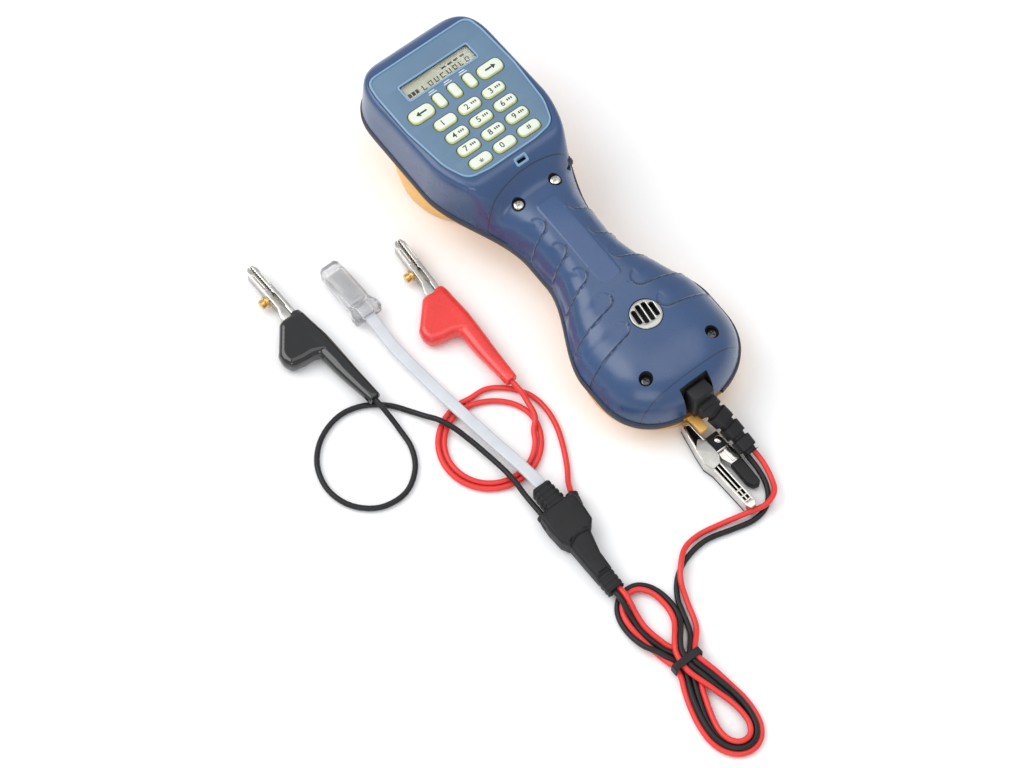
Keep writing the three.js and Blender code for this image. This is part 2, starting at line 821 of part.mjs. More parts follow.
function addCords() {
  add("main_cord_red", mainCord("red"), "red");
  add("main_cord_black", mainCord("black"), "black");
  add("main_cord_hank", hank(), "red");
  add("hank_tie", hankTie(), "black");
  add("splitter", splitter(), "black");
  add("black_lead", tube(BLACK_LEAD_ROUTE, CORD / 2, 8, 42), "black");
  add("red_lead_start", tube(RED_LEAD_START, CORD / 2, 8, 4), "red");
  add("red_lead_coil", leadCoil(), "red");
  add("red_lead_end", tube(RED_LEAD_END, CORD / 2, 8, 16), "red");
  add("flat_cord", flatCord(), "silver");
  add("plug_boot", plugBoot(), "clear");
  add("modular_plug", modularPlug(), "glass");
}

addHousing();
addFace();
addInside();
addSwitch();
addBeltClip();
LEAD_CLIPS.forEach(addLeadClip);
addCords();

export default handset;
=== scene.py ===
"""Looks of a telephone line test handset: housing, keypad, belt clip and cord set, around its CAD frame."""

import math

import bmesh
import bpy
import numpy as np
from mathutils import Matrix, Vector


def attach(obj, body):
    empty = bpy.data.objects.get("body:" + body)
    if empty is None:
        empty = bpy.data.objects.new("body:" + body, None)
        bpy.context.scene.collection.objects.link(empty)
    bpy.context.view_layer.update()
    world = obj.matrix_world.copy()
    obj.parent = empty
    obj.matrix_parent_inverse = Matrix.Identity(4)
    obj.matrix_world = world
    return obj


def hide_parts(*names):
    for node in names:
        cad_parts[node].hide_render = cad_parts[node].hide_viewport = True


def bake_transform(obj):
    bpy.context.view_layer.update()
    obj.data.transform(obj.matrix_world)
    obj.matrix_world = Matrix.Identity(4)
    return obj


bl_info = {
    "name": "Line test handset",
    "version": (1, 0, 0),
    "blender": (4, 5, 0),
    "location": "3D View > Sidebar > Test handset",
    "description": "Builds the visible pieces of a telephone line test handset around its CAD frame",
    "category": "Object",
}

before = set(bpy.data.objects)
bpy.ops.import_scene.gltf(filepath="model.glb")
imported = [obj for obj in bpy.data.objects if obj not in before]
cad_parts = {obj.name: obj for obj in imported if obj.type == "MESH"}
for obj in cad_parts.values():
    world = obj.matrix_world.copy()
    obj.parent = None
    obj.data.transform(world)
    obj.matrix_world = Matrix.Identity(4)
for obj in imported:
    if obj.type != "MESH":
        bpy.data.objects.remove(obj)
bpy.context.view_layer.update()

MM = 0.001
MIDDLE_Y = 109.0  # of the handset, in the drawing's millimetres, where the row frame has its origin
HANDSET = "handset"
TAIL_END, HEAD_END = 11.0, 262.0
GAP = 0.3

# ---------------------------------------------------------------- drawing to frame


def in_frame(points):
    """Points of the drawing, in millimetres, as metres in the row frame."""
    points = np.asarray(points, float).reshape(-1, 3)
    return (points - np.array([0.0, MIDDLE_Y, 0.0])) * MM


def one_in_frame(x, y, z):
    return Vector(in_frame([(x, y, z)])[0])


# ---------------------------------------------------------------- meshes


def link(obj):
    bpy.context.scene.collection.objects.link(obj)
    return obj


def tidy(mesh, angle=32.0, merge=1e-5, recalculate=True):
    """Merges doubles, turns the faces outwards and rounds the shading up to the given angle."""
    work = bmesh.new()
    work.from_mesh(mesh)
    bmesh.ops.remove_doubles(work, verts=work.verts, dist=merge)
    bmesh.ops.dissolve_degenerate(work, edges=work.edges, dist=merge * 0.5)
    if recalculate:
        bmesh.ops.recalc_face_normals(work, faces=work.faces)
    work.to_mesh(mesh)
    work.free()
    mesh.polygons.foreach_set("use_smooth", [True] * len(mesh.polygons))
    mesh.set_sharp_from_angle(angle=math.radians(angle))
    mesh.update()


def piece_of(name, mesh, finishes, body=HANDSET, nodes=(), slot=None):
    """A finished piece: its mesh is in place in the row frame, and it rides on a body."""
    mesh.name = name
    index = np.zeros(len(mesh.polygons), np.int32)
    mesh.polygons.foreach_get("material_index", index)
    mesh.materials.clear()
    for finish in finishes:
        mesh.materials.append(finish)
    mesh.polygons.foreach_set("material_index", np.minimum(index, len(finishes) - 1))
    obj = link(bpy.data.objects.new(name, mesh))
    if body:
        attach(obj, body)
    if nodes:
        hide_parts(*nodes)
    return obj


def mesh_of(points, faces=(), edges=()):
    """A mesh from points of the drawing."""
    mesh = bpy.data.meshes.new("shape")
    mesh.from_pydata([tuple(p) for p in in_frame(points)], list(edges), [tuple(f) for f in faces])
    return mesh


def points_of(mesh):
    return np.array([v.co for v in mesh.vertices], float)


def set_points(mesh, points, place=None):
    """Puts the vertices at points of the drawing, which place moves first."""
    if place is not None:
        points = place(points)
    mesh.vertices.foreach_set("co", in_frame(points).astype(np.float32).ravel())


def tube_faces(rings, count):
    """The faces of a tube of so many rings, each of count points, closed at both ends."""
    faces = []
    for i in range(rings - 1):
        for k in range(count):
            n = (k + 1) % count
            faces.append((i * count + k, i * count + n, (i + 1) * count + n, (i + 1) * count + k))
    faces.append(tuple(range(count))[::-1])
    faces.append(tuple(range((rings - 1) * count, rings * count)))
    return faces


def joined(meshes):
    """Several meshes as one. Each keeps its own finish index."""
    work = bmesh.new()
    for mesh in meshes:
        work.from_mesh(mesh)
    out = bpy.data.meshes.new("shape")
    work.to_mesh(out)
    work.free()
    return out


def assembled(meshes, angle=34):
    """Several meshes as one, with its shading rounded up to the given angle."""
    mesh = joined(meshes)
    mesh.set_sharp_from_angle(angle=math.radians(angle))
    return mesh


def painted(mesh, index):
    """The mesh with every face in the finish of that number."""
    mesh.polygons.foreach_set("material_index", [index] * len(mesh.polygons))
    return mesh


def evaluated(obj):
    """What the object's modifiers make, as a plain mesh, and the object is removed."""
    graph = bpy.context.evaluated_depsgraph_get()
    graph.update()
    mesh = bpy.data.meshes.new_from_object(obj.evaluated_get(graph))
    mesh.transform(obj.matrix_world)
    bpy.data.objects.remove(obj)
    return mesh


def cut(mesh, cutter, operation="DIFFERENCE"):
    """mesh with cutter taken away, added or kept in common."""
    for solver in ("MANIFOLD", "EXACT"):
        base = link(bpy.data.objects.new("base", mesh.copy()))
        tool = link(bpy.data.objects.new("tool", cutter.copy()))
        modifier = base.modifiers.new("cut", "BOOLEAN")
        modifier.operation = operation
        modifier.solver = solver
        modifier.object = tool
        out = evaluated(base)
        bpy.data.objects.remove(tool)
        if len(out.vertices) > 8 and len(out.vertices) != len(mesh.vertices):
            return out
    raise RuntimeError("nothing was cut")


def smoothed(mesh, voxel, rounds):
    """The union of all closed shells in mesh, with its edges melted round."""
    base = link(bpy.data.objects.new("base", mesh))
    remesh = base.modifiers.new("remesh", "REMESH")
    remesh.mode = "VOXEL"
    remesh.voxel_size = voxel * MM
    smooth = base.modifiers.new("smooth", "SMOOTH")
    smooth.factor = 0.5
    smooth.iterations = rounds
    return evaluated(base)


def catmull(points, per_span=6, closed=False):
    """A smooth line through the points (centripetal Catmull-Rom)."""
    p = [np.asarray(q, float) for q in points]
    if closed:
        p = [p[-1], *p, p[0], p[1]]
    else:
        p = [2 * p[0] - p[1], *p, 2 * p[-1] - p[-2]]
    out = []
    for i in range(1, len(p) - 2):
        a, b, c, d = p[i - 1 : i + 3]
        t0 = 0.0
        t1 = t0 + math.sqrt(np.linalg.norm(b - a)) + 1e-9
        t2 = t1 + math.sqrt(np.linalg.norm(c - b)) + 1e-9
        t3 = t2 + math.sqrt(np.linalg.norm(d - c)) + 1e-9
        for t in np.linspace(t1, t2, per_span, endpoint=False):
            ab = (t1 - t) / (t1 - t0) * a + (t - t0) / (t1 - t0) * b
            bc = (t2 - t) / (t2 - t1) * b + (t - t1) / (t2 - t1) * c
            cd = (t3 - t) / (t3 - t2) * c + (t - t2) / (t3 - t2) * d
            abc = (t2 - t) / (t2 - t0) * ab + (t - t0) / (t2 - t0) * bc
            bcd = (t3 - t) / (t3 - t1) * bc + (t - t1) / (t3 - t1) * cd
            out.append((t2 - t) / (t2 - t1) * abc + (t - t1) / (t2 - t1) * bcd)
    if not closed:
        out.append(p[-2])
    return np.array(out)


def rounded(corners, radius, steps=5):
    """A flat outline with its corners turned to arcs. radius is one number or one for each corner."""
    corners = [np.asarray(c, float)[:2] for c in corners]
    radii = [radius] * len(corners) if np.isscalar(radius) else list(radius)
    out = []
    for i, corner in enumerate(corners):
        before, after = corners[i - 1], corners[(i + 1) % len(corners)]
        u, v = before - corner, after - corner
        lu, lv = np.linalg.norm(u), np.linalg.norm(v)
        u, v = u / lu, v / lv
        half = math.acos(float(np.clip(u @ v, -1, 1))) / 2
        reach = min(radii[i] / max(math.tan(half), 1e-6), 0.48 * lu, 0.48 * lv)
        a, b = corner + u * reach, corner + v * reach
        for k in range(steps + 1):
            t = k / steps
            out.append((1 - t) ** 2 * a + 2 * t * (1 - t) * corner + t * t * b)
    return [tuple(q) for q in out]


def rectangle(x, y, width, height, radius, steps=5):
    w, h = width / 2, height / 2
    corners = [(x - w, y - h), (x + w, y - h), (x + w, y + h), (x - w, y + h)]
    return rounded(corners, min(radius, w * 0.96, h * 0.96) * 1.15, steps)


def circle(x, y, radius, sides=48):
    turns = [2 * math.pi * i / sides for i in range(sides)]
    return [(x + radius * math.cos(a), y + radius * math.sin(a)) for a in turns]


def flat(outer, z0, z1, holes=(), bevel=0.3, steps=2, place=None):
    """A flat plate of the given outline with its edges rounded. place moves drawing points first."""
    curve = bpy.data.curves.new("plate", "CURVE")
    curve.dimensions = "2D"
    curve.fill_mode = "BOTH"
    for line in [outer, *holes]:
        spline = curve.splines.new("POLY")
        spline.points.add(len(line) - 1)
        for k, (x, y) in enumerate(line):
            spline.points[k].co = (x, y, 0, 1)
        spline.use_cyclic_u = True
    bevel = min(bevel, (z1 - z0) / 2 - 0.01)
    curve.extrude = (z1 - z0) / 2 - bevel
    curve.bevel_depth = bevel
    curve.offset = -bevel
    curve.bevel_resolution = steps
    mesh = evaluated(link(bpy.data.objects.new("plate", curve)))
    set_points(mesh, points_of(mesh) + [0, 0, (z0 + z1) / 2], place)
    tidy(mesh, 34, 4e-6)
    return mesh


def block(x0, x1, y0, y1, z0, z1, bevel=0.0, steps=2, place=None):
    """A bar with its edges rounded."""
    work = bmesh.new()
    bmesh.ops.create_cube(work, size=1)
    for v in work.verts:
        v.co = (
            (x0 + x1) / 2 + v.co.x * (x1 - x0),
            (y0 + y1) / 2 + v.co.y * (y1 - y0),
            (z0 + z1) / 2 + v.co.z * (z1 - z0),
        )
    if bevel:
        bmesh.ops.bevel(work, geom=work.edges[:], offset=bevel, segments=steps, profile=0.5, affect="EDGES")
    mesh = bpy.data.meshes.new("bar")
    work.to_mesh(mesh)
    work.free()
    set_points(mesh, points_of(mesh), place)
    tidy(mesh, 34)
    return mesh


def turned(profile, centre, axis=(0, 0, 1), sides=48):
    """A turned shape: profile gives (along, radius) pairs from one end of the axis to the other."""
    axis = Vector(axis).normalized()
    side = axis.orthogonal().normalized()
    other = axis.cross(side)
    centre = Vector(centre)
    points = []
    for along, radius in profile:
        for k in range(sides):
            a = 2 * math.pi * k / sides
            reach = side * math.cos(a) + other * math.sin(a)
            points.append(tuple(centre + axis * along + reach * radius))
    mesh = mesh_of(points, tube_faces(len(profile), sides))
    tidy(mesh, 32, 2e-6)
    return mesh


def swept(route, section, angle=40.0):
    """A closed body along a route. section(share) gives the outline at that share of the way, as
    (across, up) pairs, with the same count everywhere."""
    route = np.asarray(route, float)
    steps = np.linalg.norm(np.diff(route, axis=0), axis=1)
    shares = np.concatenate([[0], np.cumsum(steps)]) / steps.sum()
    tangents = np.gradient(route, axis=0)
    points, outline = [], []
    for centre, tangent, share in zip(route, tangents, shares):
        tangent = Vector(tangent).normalized()
        across = tangent.cross(Vector((0, 0, 1))).normalized()
        rise = across.cross(tangent)
        outline = section(float(share))
        for a, b in outline:
            points.append(tuple(Vector(centre) + across * a + rise * b))
    mesh = mesh_of(points, tube_faces(len(route), len(outline)))
    tidy(mesh, angle, 2e-6)
    return mesh


def oval(width, height, sides=24, power=2.0):
    """A round or squarish section."""
    out = []
    for k in range(sides):
        a = 2 * math.pi * k / sides
        c, s = math.cos(a), math.sin(a)
        x = math.copysign(abs(c) ** (2 / power), c) * width / 2
        z = math.copysign(abs(s) ** (2 / power), s) * height / 2
        out.append((x, z))
    return out


# ---------------------------------------------------------------- node trees


class Tree:
    """A node tree that is filled node by node."""

    def __init__(self, tree):
        self.tree = tree

    def node(self, kind, inputs=None, **facts):
        made = self.tree.nodes.new(kind)
        for name, value in facts.items():
            setattr(made, name, value)
        for name, value in (inputs or {}).items():
            if isinstance(value, bpy.types.NodeSocket):
                self.tree.links.new(value, made.inputs[name])
            else:
                made.inputs[name].default_value = value
        return made

    def sum(self, operation, *values):
        """The result of one Math node."""
        return self.node("ShaderNodeMath", dict(enumerate(values)), operation=operation).outputs[0]

    def band(self, away, full, none, most):
        """A soft line: `most` up to `full` away from its middle, nothing beyond `none`."""
        return self.mapped(self.sum("ABSOLUTE", away), full, none, most, 0.0)

    def mapped(self, value, from_min, from_max, to_min=0.0, to_max=1.0):
        """The result of one Map Range node."""
        ends = {"From Min": from_min, "From Max": from_max, "To Min": to_min, "To Max": to_max}
        return self.node("ShaderNodeMapRange", {"Value": value, **ends}).outputs["Result"]


def finish_base(name, colour, roughness, metallic=0.0, **sockets):
    """A material with its shader, its object coordinates and nothing linked yet."""
    material = bpy.data.materials.new(name)
    material.use_nodes = True
    material.diffuse_color = (*colour[:3], 1.0)
    tree = Tree(material.node_tree)
    shader = material.node_tree.nodes["Principled BSDF"]
    shader.inputs["Base Color"].default_value = (*colour[:3], 1.0)
    shader.inputs["Roughness"].default_value = roughness
    shader.inputs["Metallic"].default_value = metallic
    for socket, value in sockets.items():
        shader.inputs[socket.replace("_", " ")].default_value = value
    where = tree.node("ShaderNodeTexCoord").outputs["Object"]
    return material, tree, shader, where


def shade(colour, factor):
    """The colour made lighter or darker, with its alpha."""
    return (*[min(1.0, c * factor) for c in colour[:3]], 1.0)


def mottled(tree, where, colour, scale, amount):
    """The colour, a little lighter and darker in patches."""
    noise = tree.node("ShaderNodeTexNoise", {"Vector": where, "Scale": scale, "Detail": 3.0})
    ramp = tree.node("ShaderNodeValToRGB", {"Fac": noise.outputs["Fac"]})
    ramp.color_ramp.elements[0].position = 0.3
    ramp.color_ramp.elements[1].position = 0.7
    ramp.color_ramp.elements[0].color = shade(colour, 1 - amount)
    ramp.color_ramp.elements[1].color = shade(colour, 1 + amount)
    return ramp.outputs["Color"]


def worn_roughness(tree, where, shader, roughness, scale, swing):
    """Roughness that swings a little both ways in patches."""
    noise = tree.node("ShaderNodeTexNoise", {"Vector": where, "Scale": scale, "Detail": 5.0})
    least, most = max(0.02, roughness - swing), min(1.0, roughness + swing)
    tree.tree.links.new(tree.mapped(noise.outputs["Fac"], 0.3, 0.7, least, most), shader.inputs["Roughness"])


def relief(tree, shader, height, strength, distance):
    """Raises the surface where height is high, by distance metres at most."""
    bump = tree.node("ShaderNodeBump", {"Height": height, "Strength": strength, "Distance": distance})
    tree.tree.links.new(bump.outputs["Normal"], shader.inputs["Normal"])


def moulded(name, colour, roughness, grain=2200.0, depth=0.00003, mottle=0.05, patch=45.0, **sockets):
    """Moulded plastic or rubber: a fine spark-eroded grain and faint patches of sheen."""
    material, tree, shader, where = finish_base(name, colour, roughness, **sockets)
    tree.tree.links.new(mottled(tree, where, colour, patch, mottle), shader.inputs["Base Color"])
    worn_roughness(tree, where, shader, roughness, patch * 3, 0.06)
    fine = tree.node("ShaderNodeTexNoise", {"Vector": where, "Scale": grain, "Detail": 2.0})
    relief(tree, shader, fine.outputs["Fac"], 0.5, depth)
    return material


def plated(name, colour, roughness, stretch=(1.0, 1.0, 14.0)):
    """Plated or turned metal: drawn scratches along one way, with duller patches."""
    material, tree, shader, where = finish_base(name, colour, roughness, 1.0)
    tree.tree.links.new(mottled(tree, where, colour, 160.0, 0.1), shader.inputs["Base Color"])
    worn_roughness(tree, where, shader, roughness, 220.0, 0.08)
    mapping = tree.node("ShaderNodeMapping", {"Vector": where, "Scale": stretch})
    lines = tree.node(
        "ShaderNodeTexNoise",
        {"Vector": mapping.outputs["Vector"], "Scale": 240.0, "Detail": 4.0, "Roughness": 0.7},
    )
    relief(tree, shader, lines.outputs["Fac"], 0.6, 0.00002)
    return material


def part_line_shade_mask(tree, where):
    """1 on the painted shade lines: an arc below the keypad, one across the tail, one under each grip pad."""
    axes = tree.node("ShaderNodeSeparateXYZ", {"Vector": where})
    x = tree.sum("MULTIPLY", axes.outputs["X"], 1000.0)
    y = tree.sum("MULTIPLY_ADD", axes.outputs["Y"], 1000.0, MIDDLE_Y)
    off = tree.sum("SUBTRACT", x, 1.5)
    arc = tree.sum("MULTIPLY_ADD", tree.sum("MULTIPLY", off, off), 0.0066, y)
    masks = [tree.band(tree.sum("SUBTRACT", arc, 159.6), 0.14, 0.36, 0.85)]
    masks.append(tree.band(tree.sum("SUBTRACT", y, 22.3), 0.12, 0.32, 0.8))
    side = tree.sum("ABSOLUTE", x)
    for pad in GRIP_PADS:
        reach = tree.sum("SUBTRACT", side, pad["inner"] + pad["half"])
        within = tree.sum("MINIMUM", reach, 0.0)
        along = tree.sum("SUBTRACT", y, pad["y"])
        along = tree.sum("MULTIPLY_ADD", tree.sum("MAXIMUM", reach, 0.0), pad["fall"], along)
        squares = tree.sum("MULTIPLY_ADD", within, within, tree.sum("MULTIPLY", along, along))
        edge = tree.sum("SUBTRACT", tree.sum("SQRT", squares), pad["half"] + 0.35)
        fade = tree.mapped(along, 2.4, -1.2)
        masks.append(tree.sum("MULTIPLY", tree.band(edge, 0.2, 0.62, 0.92), fade))
    whole = masks[0]
    for mask in masks[1:]:
        whole = tree.sum("MAXIMUM", whole, mask)
    return whole


def lined_plastic(name, colour, line_shade_colour, inlay_colour, roughness):
    """The upper housing: satin plastic, with painted shade in its part lines and under its grip pads, and
    lighter in its label recess.
    """
    material, tree, shader, where = finish_base(name, colour, roughness, Coat_Weight=0.45, Coat_Roughness=0.24)
    body = mottled(tree, where, colour, 40.0, 0.07)
    inlay = tree.node("ShaderNodeAttribute", attribute_name="inlay")
    first = mixed(tree, inlay.outputs["Fac"], body, inlay_colour)
    # painted shade: the part lines and the lines under the grip pads take the near-black line colour
    both = mixed(tree, part_line_shade_mask(tree, where), first, line_shade_colour)
    tree.tree.links.new(both, shader.inputs["Base Color"])
    worn_roughness(tree, where, shader, roughness, 120.0, 0.05)
    fine = tree.node("ShaderNodeTexNoise", {"Vector": where, "Scale": 2600.0, "Detail": 1.0})
    relief(tree, shader, fine.outputs["Fac"], 0.15, 0.000004)
    return material


def mixed(tree, factor, first, second):
    """first where factor is 0, second where it is 1. Each is a socket or a colour."""
    mix = tree.node("ShaderNodeMix", data_type="RGBA")
    tree.tree.links.new(factor, mix.inputs[0])
    for index, value in ((6, first), (7, second)):
        if isinstance(value, bpy.types.NodeSocket):
            tree.tree.links.new(value, mix.inputs[index])
        else:
            mix.inputs[index].default_value = (*value[:3], 1.0)
    return mix.outputs[2]


def clear(name, colour, roughness, transmission=0.92, mottle=0.03):
    """Clear vinyl or acrylic, faintly cloudy."""
    sockets = {"IOR": 1.42, "Transmission_Weight": transmission}
    material, tree, shader, where = finish_base(name, colour, roughness, **sockets)
    tree.tree.links.new(mottled(tree, where, colour, 90.0, mottle), shader.inputs["Base Color"])
    worn_roughness(tree, where, shader, roughness, 200.0, 0.05)
    fine = tree.node("ShaderNodeTexNoise", {"Vector": where, "Scale": 500.0, "Detail": 3.0})
    relief(tree, shader, fine.outputs["Fac"], 0.3, 0.00004)
    return material


FINISH = {}


def make_finishes(p):
    """Every finish of the handset and its cord set, by a plain name; the part-line colour, the rim finish and
    the near-black cavity finish are painted shade or painted highlight.
    """
    blue, amber, key = p.shell_colour, p.rear_colour, p.key_colour
    red, black = p.red_colour, p.black_colour
    FINISH.clear()
    # painted shade: the near-black colour here is painted into the part lines and under the grip pads
    FINISH["shell"] = lined_plastic("shell_plastic", blue, (0.005, 0.008, 0.02), shade(blue, 1.12), 0.3)
    FINISH["plate"] = moulded("plate_overlay", p.plate_colour, 0.42, 3000, 0.00001, 0.05, 60)
    # painted highlight: a lighter copy of the plate colour stands for the light caught by the plate's rim edge;
    # the window bezel and the port ring wear it too
    FINISH["rim"] = moulded("plate_rim_highlight", shade(p.plate_colour, 1.75), 0.3, 3000, 0.00001, 0.05)
    FINISH["seam"] = moulded("seam_rubber", (0.035, 0.037, 0.058), 0.6, 1800, 0.00004, 0.12)
    FINISH["amber"] = moulded("rear_plastic", amber, 0.42, 2000, 0.00003, 0.05, Subsurface_Weight=0.08)
    FINISH["key"] = moulded("key_rubber", key, 0.42, 2600, 0.00001, 0.03, Subsurface_Weight=0.1)
    FINISH["key_foot"] = moulded("key_foot", (0.52, 0.55, 0.12), 0.5, 2600, 0.00001, 0.06)
    FINISH["legend"] = moulded("legend_ink", (0.03, 0.035, 0.05), 0.5, 2600, 0.000005, 0.1)
    FINISH["white_ink"] = moulded("white_ink", (0.62, 0.68, 0.74), 0.5, 2600, 0.000005, 0.05)
    FINISH["display"] = moulded("display_film", (0.78, 0.78, 0.6), 0.3, 1500, 0.000005, 0.1, 70)
    FINISH["segment"] = moulded("display_segment", (0.03, 0.035, 0.035), 0.35, 1500, 0.000005, 0.1)
    FINISH["window"] = clear("display_window_acrylic", (0.96, 0.97, 0.96), 0.04, 1.0, 0.01)
    FINISH["black"] = moulded("black_plastic", shade(black, 0.8), 0.45, 2200, 0.00003, 0.12)
    FINISH["rubber"] = moulded(
        "black_rubber", black, 0.5, 1500, 0.00005, 0.15, 90, Specular_IOR_Level=0.28
    )
    boot_black, boot_red = shade(black, 0.45), shade(red, 1.05)
    FINISH["vinyl_black"] = moulded("boot_black_vinyl", boot_black, 0.1, 300, 0.00001, 0.1, 70, Coat_Weight=0.5)
    FINISH["vinyl_red"] = moulded("boot_red_vinyl", boot_red, 0.26, 300, 0.00002, 0.05, 70, Coat_Weight=0.35)
    FINISH["nickel"] = plated("nickel_plate", (0.6, 0.58, 0.54), 0.19)
    FINISH["nickel_dull"] = plated("nickel_worn", (0.47, 0.46, 0.43), 0.32, (1.0, 12.0, 1.0))
    FINISH["steel_black"] = plated("black_oxide", (0.1, 0.1, 0.095), 0.3)
    FINISH["brass"] = plated("turned_brass", (0.72, 0.5, 0.19), 0.26, (9.0, 1.0, 1.0))
    FINISH["cord_red"] = moulded("cord_red_vinyl", red, 0.38, 900, 0.00003, 0.06, 110)
    FINISH["cord_black"] = moulded(
        "cord_black_vinyl", black, 0.4, 900, 0.00003, 0.12, 110, Specular_IOR_Level=0.3
    )
    FINISH["silver"] = moulded("flat_cord_vinyl", (0.58, 0.6, 0.63), 0.32, 900, 0.00003, 0.05, 100)
    FINISH["clear"] = clear("plug_boot_vinyl", (0.95, 0.95, 0.96), 0.1, 0.86, 0.03)
    FINISH["plug"] = clear("plug_clear", (0.78, 0.79, 0.8), 0.14, 0.5, 0.08)
    FINISH["board"] = moulded("circuit_board_green", (0.03, 0.16, 0.06), 0.5, 1200, 0.00003, 0.15)
    # painted shade: this near-black finish is put on the walls and floors of the screw wells, the speaker hole,
    # the port and the cord notch, on rings in the wells and on the belt clip's channel floor, where the real
    # parts lie in shade
    FINISH["hole"] = moulded("shadowed_cavity", (0.008, 0.009, 0.014), 0.8, 2000, 0.00001, 0.1)


# ---------------------------------------------------------------- housing form


def ease(low, high, x):
    t = np.clip((np.asarray(x, float) - low) / (high - low), 0, 1)
    return t * t * (3 - 2 * t)


def round_end(y, start, end, power):
    t = np.clip((y - start) / (end - start), 0, 1)
    return (1 - t**power) ** (1 / power)


def seam_height(y):
    return 16 + 0.085 * (np.asarray(y, float) - TAIL_END)


def half_width(y):
    tail = 19.5 * (1 - ease(57, 112, y))
    head = 19.0 * ease(127, 192, y)
    return (22 + tail + head) * round_end(y, 45, TAIL_END, 2.3) * round_end(y, 232, HEAD_END, 3)


def crown(y):
    top = 43 + 7 * ease(60, 140, y)
    top = top + (62 - top) * ease(149, 167, y)
    return (top - seam_height(y)) * round_end(y, 45, TAIL_END, 2.6) * round_end(y, 242, HEAD_END, 3.5)


def depth(y):
    return 10 * round_end(y, 45, TAIL_END, 2.6) * round_end(y, 236, HEAD_END, 5)


def stations(count, low=TAIL_END, high=HEAD_END):
    """Places along the housing, closer together towards both ends."""
    t = np.linspace(0, 1, count)
    return low + (high - low) * (0.62 * t + 0.38 * (1 - np.cos(math.pi * t)) / 2)


def arch(y, side, floor, around):
    """One cross section of a housing half, evenly spaced from its right edge to its left one."""
    a = np.linspace(0, math.pi, 900)
    square = 3 + 15 * float(ease(150, 172, y))
    lean = 0.13 - 0.06 * float(ease(150, 172, y))
    up = np.sin(a).clip(0) ** (2 / square)
    across = np.sign(np.cos(a)) * np.abs(np.cos(a)) ** (2 / square)
    rise = float(crown(y) if side > 0 else depth(y))
    x = float(half_width(y)) * across * (1 - lean * up)
    z = np.maximum(rise * up, floor)
    run = np.concatenate([[0], np.cumsum(np.hypot(np.diff(x), np.diff(z)))])
    even = np.linspace(0, run[-1], around)
    return np.interp(even, run, x), side * np.interp(even, run, z) + float(seam_height(y))


def half_housing(side, floor, along, around):
    """Grid of points of one half, floor millimetres away from the seam at its edge."""
    ys = stations(4000)
    rises = crown(ys) if side > 0 else depth(ys)
    inside = ys[rises > floor + 0.35]
    ys = stations(along, inside[0], inside[-1])
    grid = np.zeros((along, around, 3))
    for i, y in enumerate(ys):
        x, z = arch(y, side, floor, around)
        grid[i, :, 0], grid[i, :, 1], grid[i, :, 2] = x, y, z
    return grid


def closed_grid(grid):
    """The grid as a closed shell: a strip joins its two long edges, and each end has its own face."""
    rows, columns = grid.shape[:2]
    index = np.arange(rows * columns).reshape(rows, columns)
    faces = []
    for i in range(rows - 1):
        for k in range(columns - 1):
            faces.append((index[i, k], index[i, k + 1], index[i + 1, k + 1], index[i + 1, k]))
        faces.append((index[i, -1], index[i, 0], index[i + 1, 0], index[i + 1, -1]))
    faces.append(tuple(index[0]))
    faces.append(tuple(index[-1][::-1]))
    return mesh_of(grid.reshape(-1, 3), [tuple(int(v) for v in f) for f in faces])


# Grip pads: each is a tongue that reaches in from the side to `inner`, half as thick as `half`,
# with its middle at y there, its lower edge falling by `fall` and its upper one rising outwards.
GRIP_PADS = [
    {"inner": 8.2, "y": 132.6, "half": 4.6, "fall": 0.22, "rise": 0.9},
    {"inner": 8.2, "y": 115.4, "half": 4.6, "fall": 0.24, "rise": 0.9},
    {"inner": 8.6, "y": 98.0, "half": 4.6, "fall": 0.24, "rise": 0.9},
    {"inner": 7.4, "y": 79.4, "half": 4.9, "fall": 0.13, "rise": 0.12},
    {"inner": 10.4, "y": 61.6, "half": 4.7, "fall": 0.13, "rise": 0.08},
]


def pad_relief(x, y):
    """Height of the grip pads and depth of the groove under each lower edge, at each point; the shell finish
    paints shade along these grooves.
    """
    height, line = np.zeros_like(x), np.zeros_like(x)
    for pad in GRIP_PADS:
        inner, half = pad["inner"], pad["half"]
        reach = np.abs(x) - (inner + half)
        lower = pad["y"] - half - pad["fall"] * np.maximum(reach, 0)
        upper = pad["y"] + half + pad["rise"] * np.maximum(reach, 0)
        capped = half - np.hypot(np.minimum(reach, 0), y - pad["y"])
        inside = np.where(reach < 0, capped, np.minimum(y - lower, upper - y))
        below = np.where(reach < 0, capped + (y > pad["y"]) * 2.2, y - lower)
        soft = np.where(reach < 0, 1.0, ease(0, 5, upper - y))
        swell = 0.45 + 0.55 * ease(pad["y"] + half, pad["y"] - half, y)
        height += 0.75 * ease(-0.5, 0.6, inside) * soft * swell
        low_side = ease(pad["y"] + 2.0, pad["y"] - 1.0, y)
        line = np.maximum(line, np.exp(-(((below + 0.35) / 0.42) ** 2)) * low_side)
    return height, line


def label_recess(x, y):
    """1 inside the shallow recess along the handle, 0 outside."""
    side = 6.3 - np.abs(x)
    end = np.minimum(y - 86.2, 141.6 - y)
    corner = 2.5 - np.hypot(np.maximum(2.5 - side, 0), np.maximum(2.5 - end, 0))
    return ease(-0.3, 0.3, np.minimum(np.minimum(side, end), corner))


def grid_normals(grid):
    """The outward direction at each point of the grid."""
    du = np.gradient(grid, axis=0)
    dv = np.gradient(grid, axis=1)
    normal = np.cross(dv, du)
    length = np.linalg.norm(normal, axis=2, keepdims=True)
    return normal / np.maximum(length, 1e-9)


